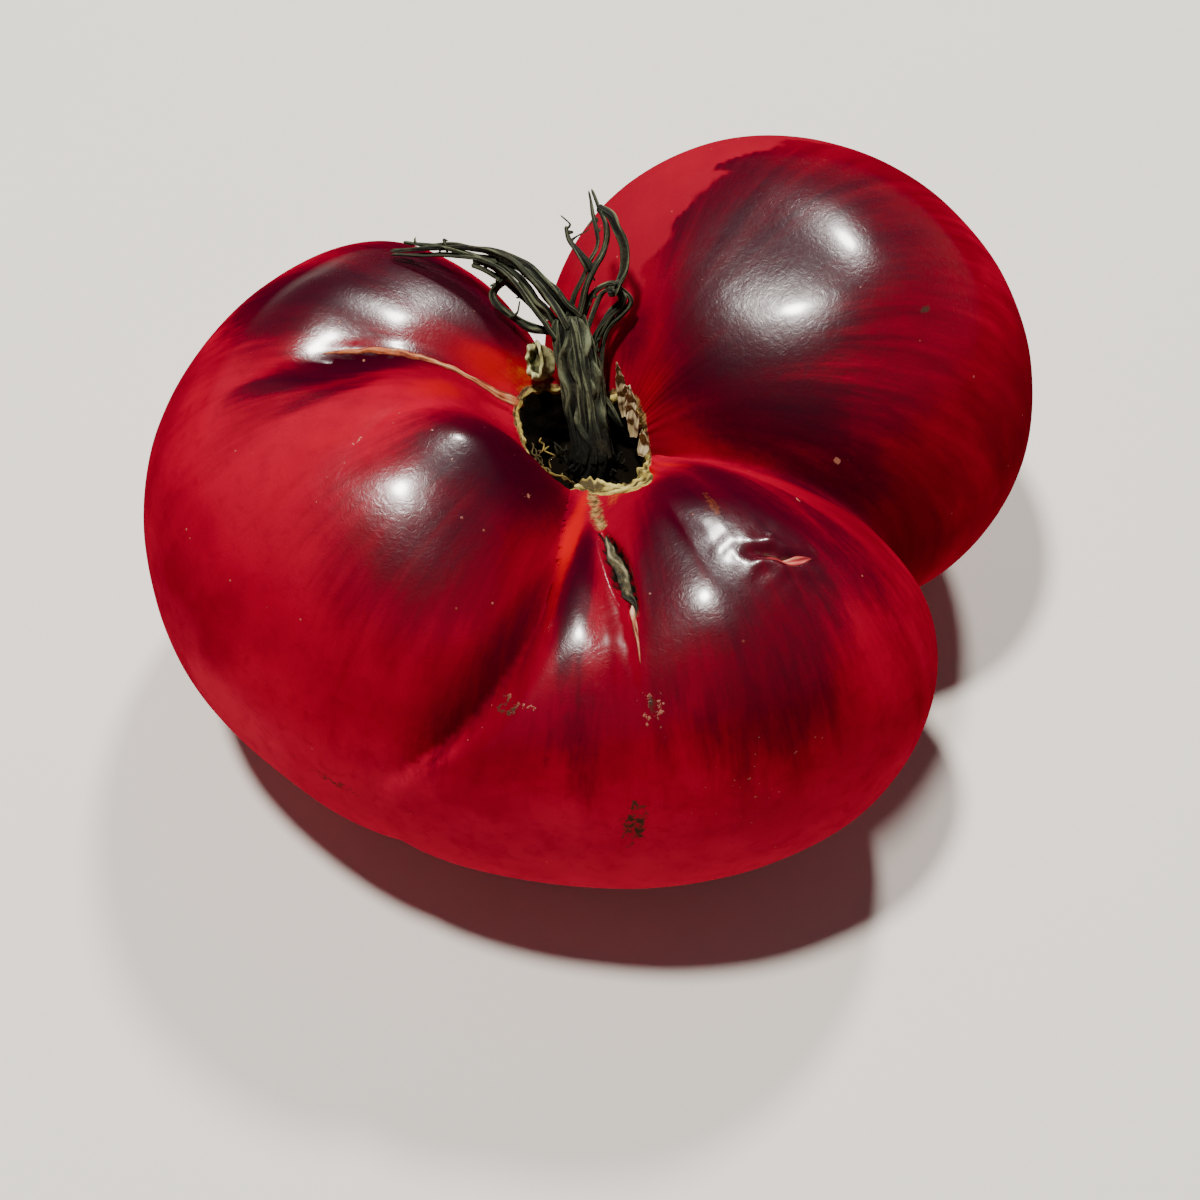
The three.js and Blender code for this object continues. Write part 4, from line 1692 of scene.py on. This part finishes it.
@dataclass
class Calyx:
    """The dried calyx: a ribbed trunk that leans back out of the well, and its curled sepals."""

    trunk_path: tuple[Vec3, ...] = (
        (0, 0.9, 44.6),
        (0, 0.95, 46.2),
        (-0.2, 1.9, 48.2),
        (-0.8, 4.3, 51.2),
        (-1.6, 7.4, 55),
        (-2.4, 10.0, 58.3),
        (-3.2, 12.6, 61.5),
    )
    trunk_radii: tuple[float, ...] = (3.0, 2.7, 2.45, 2.45, 2.5, 2.4, 1.9)
    # Below this height, in the well, the trunk is painted in shade.
    trunk_shaded_below: float = 48.5
    cords: int = 13
    foot: Vec3 = (0.0, 1.0, 45.2)
    foot_fibres: int = 16
    spurs_each: int = 3
    straps: tuple[Strap, ...] = (
        Strap(
            "arm",
            (
                (-3.0, 11.4, 60.3),
                (-6.3, 14.1, 63),
                (-10.6, 17.5, 65.6),
                (-16.4, 20.1, 65.4),
                (-27.1, 22.1, 63.3),
            ),
            (1.9, 1.8, 1.3, 0.95, 0.5),
            60.0,
            5,
        ),
        Strap(
            "arm_twin",
            ((-12.4, 18.8, 65.8), (-18.3, 20.9, 65.8), (-21.7, 22.1, 64.9), (-25.5, 23.7, 64.1)),
            (0.9, 0.8, 0.6, 0.5),
            120.0,
            2,
        ),
        Strap(
            "loop",
            ((-16, 18.9, 65), (-13.4, 17.7, 64.5), (-10.4, 16, 62.8), (-6.9, 13.7, 60.6), (-3.4, 11.6, 59.4)),
            (0.7, 0.8, 1.0, 1.0, 1.0),
            100.0,
            2,
        ),
        Strap(
            "hook",
            (
                (-10.9, 17.2, 64.2),
                (-13.2, 16.6, 62),
                (-12.2, 14.6, 60.6),
                (-8.1, 12.1, 59.4),
                (-3.9, 11.4, 58.6),
            ),
            (0.8, 0.8, 0.8, 0.9, 1.0),
            80.0,
            2,
        ),
        Strap(
            "tall",
            ((-2.9, 11.8, 60), (-1.0, 15.2, 65.3), (1.0, 18.3, 68), (1.0, 20.6, 70), (-0.3, 25.2, 72)),
            (1.2, 0.9, 0.8, 0.95, 0.45),
            40.0,
            2,
        ),
        Strap(
            "fork",
            ((-0.1, 16.0, 66.4), (-1.4, 16.9, 68), (-2.9, 18.9, 69), (-3.5, 20.6, 70)),
            (0.8, 0.65, 0.55, 0.4),
            90.0,
            1,
        ),
        Strap(
            "arc",
            ((0.6, 22.9, 71.2), (2.6, 21.2, 70.8), (4.3, 17.6, 68), (3.4, 14.7, 64.8), (1.9, 14.6, 64)),
            (0.5, 0.65, 0.65, 0.65, 0.6),
            70.0,
            1,
        ),
        Strap(
            "middle_rib",
            ((-1.7, 8.6, 56.5), (-1.3, 11.8, 60.3), (0.5, 14.6, 63), (2.1, 15.3, 64.4), (3.8, 14.9, 64.8)),
            (1.2, 1.1, 0.95, 0.85, 0.6),
            100.0,
            2,
        ),
        Strap(
            "right_rib",
            ((0.6, 4.8, 50), (0.5, 9.2, 54.5), (1.2, 12.4, 58.6), (4.5, 14.2, 62.3), (3.4, 15.0, 64.6)),
            (1.3, 1.1, 0.95, 1.05, 0.65),
            90.0,
            3,
        ),
        Strap(
            "foot_root",
            ((-0.2, 7.4, 54), (1.1, 6.6, 52), (2.6, 5.4, 50), (3.8, 4.4, 47.8)),
            (1.0, 0.95, 0.85, 0.7),
            60.0,
            2,
        ),
    )

    def trunk(self) -> Shell:
        """The trunk's core with rope-like ribs laid round it, which wind as the core goes up.

        Returns:
            Core and ribs as one shell.
        """
        core = Rod(
            self.trunk_path,
            self.trunk_radii,
            flat=0.95,
            twist=10.0,
            ribs=9,
            rib_depth=0.1,
            groove=0.1,
            wander=0.0,
            around=110,
            step=0.25,
            seed=4,
            shaded_below=self.trunk_shaded_below,
        )
        dark = self.trunk_shaded_below
        ribs = Rod(self.trunk_path[1:], self.trunk_radii[1:], 0.95, 35.0, wander=0.1, seed=7, shaded_below=dark)
        return Shell.joined([core.shell(), *ribs.strands(self.cords, 0.93, 0.24)])

    def fibres(self) -> Shell:
        """Short curled fibres round the trunk's foot, each a thin bent rod.

        Returns:
            All of them as one shell.
        """
        rng = np.random.default_rng(8)
        shells = []
        for k in range(self.foot_fibres):
            angle = rng.uniform(0, TAU)
            reach = rng.uniform(3.0, 4.6)
            out = np.array([math.cos(angle), math.sin(angle), 0.0])
            base = np.array(self.foot) + reach * out
            rise = np.array([0.0, 0.0, rng.uniform(1.0, 2.6)])
            bend = rng.normal(size=3) * 0.7
            knots = np.array([base, base + rise * 0.5 + 0.3 * out, base + rise + 0.8 * out + bend * 0.6])
            fibre = Rod(as_path(knots), (0.28, 0.22, 0.1), 0.7, 200, around=10, step=0.2, seed=60 + k)
            shells.append(fibre.shell())
        return Shell.joined(shells)

    def spurs(self) -> Shell:
        """Torn bits that stick out of the sepals: short thin rods that leave them at an angle.

        Returns:
            All of them as one shell.
        """
        rng = np.random.default_rng(17)
        shells = []
        for k, strap in enumerate(self.straps[:-1]):
            knots = np.array(strap.path, float)
            for share in rng.uniform(0.15, 0.95, self.spurs_each):
                base = spline(knots, np.array([share]))[0]
                along = unit(spline(knots, np.array([min(share + 0.05, 1)]))[0] - base + 1e-6)
                away = unit(np.cross(along, rng.normal(size=3)))
                size = rng.uniform(0.9, 1.7)
                bend = away + along * rng.uniform(-0.2, 0.9)
                tip = base + size * (bend + 0.5 * rng.normal(size=3))
                tips = np.array([base, base + size * 0.6 * bend, tip])
                spur = Rod(as_path(tips), (0.32, 0.24, 0.09), 0.6, 120, around=10, step=0.15, seed=200 + k)
                shells.append(spur.shell())
        return Shell.joined(shells)

    def build(self) -> list[bpy.types.Object]:
        """Makes the trunk, its fibres, the sepals and their spurs, and hides the calyx's node.

        Returns:
            The pieces, trunk first.
        """
        finish = CALYX_FINISH.material()
        pieces = [
            self.trunk().to_object("calyx_trunk", finish, Slot.CALYX),
            self.fibres().to_object("calyx_fibres", finish, Slot.CALYX),
            self.spurs().to_object("sepal_spurs", finish, Slot.CALYX),
        ]
        for k, strap in enumerate(self.straps):
            rod = Rod(strap.path, strap.radii, 0.6, strap.twist, 35.0 * k, seed=2 + k)
            spread, thin = (1.15, 0.34) if strap.strands > 4 else (0.6, 0.52)
            shells = rod.strands(strap.strands, spread, thin) if strap.strands > 1 else [rod.shell()]
            pieces.append(Shell.joined(shells).to_object(f"sepal_{strap.name}", finish, Slot.CALYX))
        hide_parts("calyx")
        return pieces


@dataclass
class StalkStub:
    """The broken stalk end: a short pale tube with a torn lip round a pit that is painted darker deeper in,
    as painted shade.
    """

    path: tuple[Vec3, ...] = ((-5.6, 10.4, 54.6), (-6.7, 9.7, 55.5), (-7.4, 8.9, 56.6), (-7.7, 8.2, 57.9))
    radii: tuple[float, ...] = (0.8, 1.05, 1.15, 1.2)
    tall: float = 2.2
    pit_depth: float = 2.2
    tear_height: float = 0.75
    around: int = 64
    wall_rings: int = 40
    pit_rings: int = 12

    def shell(self) -> Shell:
        """Outer wall up, over the torn lip and down into the pit, as one run of rings.

        Returns:
            The closed stub with its ridge and flow paints.
        """
        share = np.linspace(0, 1, self.wall_rings)
        centre = spline(np.array(self.path), share)
        way = unit(np.gradient(centre, axis=0))
        side = unit(np.cross(way, [0.0, 0.84, 0.54]))
        lift = np.cross(way, side)
        a = once_round(self.around)[None, :]
        circle = side[:, None] * np.cos(a)[..., None] + lift[:, None] * np.sin(a)[..., None] * self.tall
        radius = np.interp(share, np.linspace(0, 1, len(self.radii)), self.radii)[:, None]
        skin = np.stack(np.broadcast_arrays(np.cos(a) * 1.4, np.sin(a) * 1.4, share[:, None] * 1.5), -1)
        fibre = grain(skin, 1.0, 12) * 0.05
        lip = np.stack([np.cos(a[0]) * 2, np.sin(a[0]) * 2, 0 * a[0]], -1)
        tear = self.tear_height * grain(lip, 1.9, 13)
        end = smooth((share - 0.8) / 0.2)[:, None]
        outer = centre[:, None] + circle * (radius * (1 + fibre))[..., None]
        outer = outer + way[:, None] * (tear * end)[..., None]
        pit = np.linspace(0, 1, self.pit_rings)[:, None]
        pit_radius = self.radii[-1] * (0.72 - 0.3 * pit) * (1 + 0.08 * grain(skin[: self.pit_rings], 0.8, 14))
        down = self.pit_depth * pit - tear * (1 - pit)
        inner = centre[-1] + circle[-1] * pit_radius[..., None] - way[-1] * down[..., None]
        rows = np.concatenate([outer, inner])
        # Painted shade: the ridge paint falls deeper into the pit.
        ridge = np.concatenate([0.6 + 3 * fibre, np.clip(0.9 - 2.6 * pit, 0, 1) + 0 * a])
        flow = rows * [1, 1, 0.2] * MM
        bottom = centre[-1] - way[-1] * self.pit_depth
        return Shell.tube(rows, centre[0], bottom, {"ridge": ridge, "flow": flow})

    def build(self) -> list[bpy.types.Object]:
        """Makes the stub and hides the stalk's node.

        Returns:
            The stub alone.
        """
        piece = self.shell().to_object("stalk_stub", STALK_FINISH.material(), Slot.STALK)
        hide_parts("stalk")
        return [piece]


@dataclass
class CorkRim:
    """The torn corky lip round the well's mouth, wide in front and thin on the left."""

    fruit: Fruit
    around: int = 600
    across: int = 24
    thickness: float = 0.4
    drop: float = 2.2
    wall_share: float = 0.3
    front_azimuth: float = 274.0
    corner_azimuth: float = 304.0
    curl_count: int = 15

    def shell(self) -> Shell:
        """A closed band laid over the mouth: up the wall, over the lip and out on the skin.

        The first share of the band hangs down the wall. The rest runs from inside the mouth to its outer
        edge, crowned near its inner side and rough in front.

        Returns:
            The band with its ridge and flow paints.
        """
        turn = once_round(self.around)
        azimuth = np.degrees(turn)
        circle = np.stack([np.cos(turn), np.sin(turn)], -1)
        loop = np.concatenate([circle * 9, np.zeros((self.around, 1))], -1)
        front = hump(turn_gap(azimuth, self.front_azimuth), 0, 36)
        width = 0.25 + 1.0 * front + 2.6 * hump(turn_gap(azimuth, self.corner_azimuth), 0, 17)
        ragged = grain(loop, 3.5, 41) * 0.4 + grain(loop, 1.6, 42) * 0.15
        torn = grain(loop, 2.4, 47) * 0.35 + grain(loop, 1.0, 48) * 0.1
        edge = self.fruit.mouth_radius(azimuth)
        outer = edge + np.maximum(width + ragged * (0.3 + front), 0.15)
        inner = edge - (0.15 + 2.0 * front + torn * (0.3 + front))

        t = np.linspace(0, 1, self.across)[:, None]
        over = np.clip((t - self.wall_share) / (1 - self.wall_share), 0, 1)
        radius = inner + (outer - inner) * over
        mouth = np.maximum(radius, edge)
        rows = self.fruit.surface(mouth * circle[:, 0], mouth * circle[:, 1])
        rows[..., :2] += (radius - mouth)[..., None] * circle
        down = self.drop * np.clip(1 - t / self.wall_share, 0, 1)
        rows[..., 2] -= down + 0.35 * (mouth - radius)
        crown = 0.2 + 0.28 * np.minimum(width / 2, 1) + 0.6 * hump(over, 0.35, 0.35) * (0.15 + front)
        folds = np.concatenate([circle[None] * 4.0 + 0 * rows[..., :2], radius[..., None]], -1)
        rough = (0.24 * grain(folds, 1.5, 43) + 0.12 * grain(folds, 0.6, 44)) * (0.3 + 0.7 * front)
        rows[..., 2] += (crown + rough) * smooth((1 - t) / 0.12) - 0.12
        rows[..., :2] -= circle * (0.2 * grain(rows, 2.0, 45) * (1 - over))[..., None]

        under = rows - [0, 0, self.thickness]
        loops = np.concatenate([rows, under[::-1]])
        # Painted shade: the ridge paint falls to the dark colour where the band hangs down the wall.
        ridge = (0.5 + 2.2 * rough + 0.25 * grain(rows, 2.2, 46)) * smooth(t / self.wall_share)
        return Shell.ring(loops, {"ridge": np.concatenate([ridge, ridge[::-1]]), "flow": loops * MM})

    def curls(self) -> list[Shell]:
        """Torn olive fibres that hang inside the mouth on the left, each a thin bent rod.

        Returns:
            One shell for each fibre.
        """
        rng = np.random.default_rng(29)
        shells = []
        for k in range(self.curl_count):
            azimuth = rng.uniform(150, 235)
            radius = float(self.fruit.mouth_radius(azimuth)) - rng.uniform(0.1, 1.6)
            turn = math.radians(azimuth)
            base = np.array([radius * math.cos(turn), radius * math.sin(turn), 51.2 - rng.uniform(0.0, 2.6)])
            way = np.array([-math.sin(turn), math.cos(turn), -0.3]) * rng.choice([-0.7, 0.7])
            steps = way + rng.normal(size=(4, 3)) * [0.4, 0.4, 0.45]
            path = as_path(np.concatenate([base[None], base + np.cumsum(steps, 0)]))
            radii = (0.12, 0.19, 0.17, 0.08)
            curl = Rod(path, radii, 0.6, 160, around=10, step=0.15, seed=300 + k, shaded_below=48.5)
            shells.append(curl.shell())
        return shells

    def build(self) -> list[bpy.types.Object]:
        """Makes the rim with its fibres.

        Returns:
            Both as one piece.
        """
        whole = Shell.joined([self.shell(), *self.curls()])
        return [whole.to_object("cork_rim", CORK_FINISH.material(), Slot.CORK)]


@dataclass
class Scar:
    """A long narrow scar that lies on the skin along a path of azimuths and radii."""

    fruit: Fruit
    name: str
    path: tuple[tuple[float, float], ...]
    widths: tuple[float, ...]
    height: float
    lift: float
    rough: float
    finish: DryFinish
    seed: int
    rings: int = 170
    around: int = 30

    def shell(self) -> Shell:
        """A lens of skin-hugging points with a crackled back, closed by its own underside.

        Returns:
            The closed lens with its ridge and flow paints.
        """
        share = np.linspace(0, 1, self.rings)
        polar_path = spline(np.array(self.path, float), share)
        azimuth, radius = np.radians(polar_path[:, 0]), polar_path[:, 1]
        line = np.stack([radius * np.cos(azimuth), radius * np.sin(azimuth)], -1)
        way = unit(np.gradient(line, axis=0))
        side = np.stack([-way[:, 1], way[:, 0]], -1)
        flat = np.concatenate([line, 0 * line[:, :1]], -1)
        line = line + side * (0.1 * grain(flat, 3.0, self.seed))[:, None]
        widths = np.array(self.widths, float)[:, None]
        half = spline(widths, share)[:, 0] / 2 * (1 + 0.12 * grain(flat, 2.2, self.seed + 1))
        half = np.maximum(half, 0.05) * np.sqrt(np.clip(1 - np.abs(2 * share - 1) ** 8, 0.0, 1))

        a = once_round(self.around)[None, :]
        off = np.cos(a) * half[:, None]
        rows = self.fruit.surface(line[:, :1] + side[:, :1] * off, line[:, 1:] + side[:, 1:] * off)
        length = lengths(line)[:, None]
        along = np.stack([off * 1.6, 0 * off, length * 0.22 + 0 * off], -1)
        crackle = grain(along, 0.9, self.seed + 2) * 0.1 + grain(along, 0.45, self.seed + 3) * 0.06
        full = np.sqrt(np.clip(half[:, None] / max(self.widths) * 2, 0, 1))
        rows[..., 2] += np.sin(a) * self.height * full * (1 + 1.2 * crackle)
        rows[..., 2] += self.lift * full + crackle * np.maximum(np.sin(a), 0) * self.rough
        ridge = np.clip(0.55 + crackle * 3.0 - 0.5 * np.abs(np.cos(a)) ** 4, 0, 1.1)
        flow = np.stack([off, 0 * off, length * 0.3 + 0 * off], -1) * MM
        return Shell.tube(rows, rows[0].mean(0), rows[-1].mean(0), {"ridge": ridge, "flow": flow})

    def build(self) -> list[bpy.types.Object]:
        """Makes the scar."""
        return [self.shell().to_object(self.name, self.finish.material(), Slot.CORK)]


@dataclass(frozen=True)
class Flake:
    """One papery flake: where it stands, where its tip is, its width and its turn in degrees."""

    foot: Vec3
    tip: Vec3
    width: float
    turn: float


@dataclass
class HuskFlaps:
    """Thin papery flakes that stand beside the trunk on the right of the well."""

    flakes: tuple[Flake, ...] = (
        Flake((4.3, 4.4, 50.6), (3.2, 7.0, 58.6), 1.3, 10.0),
        Flake((5.6, 1.2, 50.2), (4.8, 4.0, 57.3), 1.7, -10.0),
        Flake((6.6, -2.2, 50.4), (6.6, -0.6, 54.2), 1.5, 5.0),
        Flake((5.0, 3.2, 50.2), (4.3, 5.4, 55.8), 1.0, 25.0),
    )
    thickness: float = 0.22
    bow: float = 0.7
    rings: int = 40
    across: int = 14

    def leaf(self, flake: Flake, seed: int) -> Shell:
        """A bent leaf between foot and tip, torn at its end and rippled, closed by its own back.

        Args:
            flake: Its place and size.
            seed: Seed of its tears and ripples.

        Returns:
            The closed leaf with its ridge and flow paints.
        """
        share = np.linspace(0, 1, self.rings)
        foot, tip = np.array(flake.foot), np.array(flake.tip)
        out = unit(np.cross(tip - foot, [0.2, 0.3, 1.0]))
        centre = foot + (tip - foot) * share[:, None] + out * (self.bow * np.sin(share * math.pi))[:, None]
        way = unit(np.gradient(centre, axis=0))
        spin = math.radians(flake.turn)
        side = unit(np.cross(way, out * math.cos(spin) + np.cross(way, out) * math.sin(spin)))
        face = np.cross(way, side)
        c = np.linspace(-1, 1, self.across)[None, :]
        torn = np.clip(1.15 - share**3 * (0.9 + 0.3 * grain(centre, 1.5, seed)), 0.1, 1)
        reach = c * (flake.width / 2 * torn * (0.6 + 0.4 * smooth(share / 0.2)))[:, None]
        front = centre[:, None] + side[:, None] * reach[..., None]
        ripple = 0.25 * grain(front, 1.6, seed + 1) + 0.35 * c**2
        front = front + face[:, None] * ripple[..., None]
        back = front - face[:, None] * self.thickness
        rows = np.concatenate([front, back[:, ::-1]], 1)
        stripe = np.concatenate([c, c[:, ::-1]], 1) + 0 * share[:, None]
        lengthwise = np.stack([stripe * 2.2, 0 * stripe, rows[..., 2] * 0.12], -1)
        paints = {"ridge": 0.75 + 0.3 * grain(lengthwise, 0.9, seed + 2), "flow": lengthwise * MM}
        return Shell.tube(rows, rows[0].mean(0), rows[-1].mean(0), paints)

    def build(self) -> list[bpy.types.Object]:
        """Makes the flakes as one piece."""
        shells = [self.leaf(flake, seed=70 + 5 * k) for k, flake in enumerate(self.flakes)]
        return [Shell.joined(shells).to_object("husk_flaps", HUSK_FINISH.material(), Slot.CALYX)]


# The studio


@dataclass(frozen=True)
class Lamp:
    """A round soft light: the direction it shines from, its distance and size in metres, watts and tint."""

    name: str
    toward: Vec3
    far: float
    size: float
    watts: float
    tint: Colour

    def build(self, focus: Vector) -> None:
        """Sets the light up, facing a place.

        Args:
            focus: The place, in metres.
        """
        data = bpy.data.lights.new(self.name, "AREA")
        data.shape = "DISK"
        data.size = self.size
        data.energy = self.watts
        data.color = self.tint
        way = Vector(self.toward).normalized()
        lamp = bpy.data.objects.new(self.name, data)
        lamp.location = focus + way * self.far
        lamp.rotation_euler = (-way).to_track_quat("-Z", "Y").to_euler()
        bpy.context.scene.collection.objects.link(lamp)


@dataclass
class Studio:
    """A pale floor, two soft lights overhead and behind, and the camera at the photograph's angle."""

    focus: Vec3 = (0.58, -18.6, 35.0)
    pitch: float = 57.0
    distance: float = 252.0
    lens: float = 55.5
    sensor: float = 36.0
    floor_size: float = 4.0
    lit_height: float = 0.04
    lamps: tuple[Lamp, ...] = (
        Lamp("key", (-0.2, 0.03, 0.97), 1.1, 0.11, 18.5, (1.0, 0.97, 0.92)),
        Lamp("back", (0.18, 0.54, 0.8), 1.2, 0.13, 14.5, (1.0, 0.97, 0.93)),
    )
    sky: Colour = (0.9, 0.93, 1.0)
    sky_strength: float = 0.07

    def floor(self) -> None:
        """A flat sheet, lit by the lamps."""
        half = self.floor_size / 2
        mesh = bpy.data.meshes.new("floor")
        corners = [(-half, -half, 0), (half, -half, 0), (half, half, 0), (-half, half, 0)]
        mesh.from_pydata(corners, [], [(0, 1, 2, 3)])
        mesh.materials.append(FloorFinish().material())
        floor = bpy.data.objects.new("floor", mesh)
        bpy.context.scene.collection.objects.link(floor)

    def camera(self) -> None:
        """The camera, looking down at the focus."""
        data = bpy.data.cameras.new("camera")
        data.lens = self.lens
        data.sensor_width = self.sensor
        data.clip_start = 0.01
        pitch = math.radians(self.pitch)
        back = Vector((0.0, -math.cos(pitch), math.sin(pitch)))
        camera = bpy.data.objects.new("camera", data)
        camera.location = (Vector(self.focus) + back * self.distance) * MM
        camera.rotation_euler = (-back).to_track_quat("-Z", "Y").to_euler()
        bpy.context.scene.collection.objects.link(camera)
        bpy.context.scene.camera = camera

    def build(self) -> None:
        """Sets the floor, the camera, the lights and the surrounding light."""
        self.floor()
        self.camera()
        for lamp in self.lamps:
            lamp.build(Vector((0.0, 0.0, self.lit_height)))
        world = bpy.data.worlds.new("studio")
        world.use_nodes = True
        around = world.node_tree.nodes["Background"]
        around.inputs["Color"].default_value = (*self.sky, 1.0)
        around.inputs["Strength"].default_value = self.sky_strength
        bpy.context.scene.world = world


def scars(fruit: Fruit) -> list[Scar]:
    """The scars that lie on the skin: the split and its tail, the healed line and the pinched lip.

    Args:
        fruit: The fruit that they lie on.

    Returns:
        The scars, ready to build.
    """
    return [
        Scar(
            fruit,
            name="front_scar",
            path=((274.2, 20.4), (275.0, 23), (276.4, 26), (277.4, 29), (278.2, 31.5), (278.5, 34)),
            widths=(0.6, 1.0, 1.1, 0.9, 0.55, 0.3),
            height=0.35,
            lift=0.25,
            rough=1.0,
            finish=SCAR_FINISH,
            seed=100,
        ),
        Scar(
            fruit,
            name="scar_tail",
            path=((278.0, 31.0), (278.4, 33.5), (278.7, 36), (278.7, 39)),
            widths=(0.3, 0.55, 0.4, 0.15),
            height=0.15,
            lift=0.12,
            rough=0.4,
            finish=TAIL_FINISH,
            seed=130,
        ),
        Scar(
            fruit,
            name="left_scar",
            path=((153.5, 10.3), (161.5, 14.8), (164.8, 20), (168.9, 28.5), (171.6, 35.5)),
            widths=(1.7, 1.05, 0.8, 0.85, 0.4),
            height=0.2,
            lift=0.02,
            rough=0.3,
            finish=LINE_FINISH,
            seed=110,
        ),
        Scar(
            fruit,
            name="pinch_lip",
            path=((307.6, 34.0), (309.8, 34.9), (312.3, 35.8), (314.4, 36.5), (316.2, 37.1)),
            widths=(0.3, 0.8, 1.1, 0.9, 0.3),
            height=0.2,
            lift=0.0,
            rough=0.2,
            finish=LIP_FINISH,
            seed=120,
        ),
    ]


def main() -> None:
    """Builds the studio and every piece, and logs them."""
    logging.basicConfig(level=logging.INFO, format="%(name)s: %(message)s")
    Studio().build()
    fruit = Fruit()
    pieces: list[bpy.types.Object] = []
    for part in (fruit, CorkRim(fruit), *scars(fruit), Calyx(), StalkStub(), HuskFlaps()):
        made = part.build()
        pieces += made
        LOG.info("%s: %s", type(part).__name__, ", ".join(p.name for p in made))
    LOG.info("%d pieces in all", len(pieces))


if __name__ == "__main__":
    main()
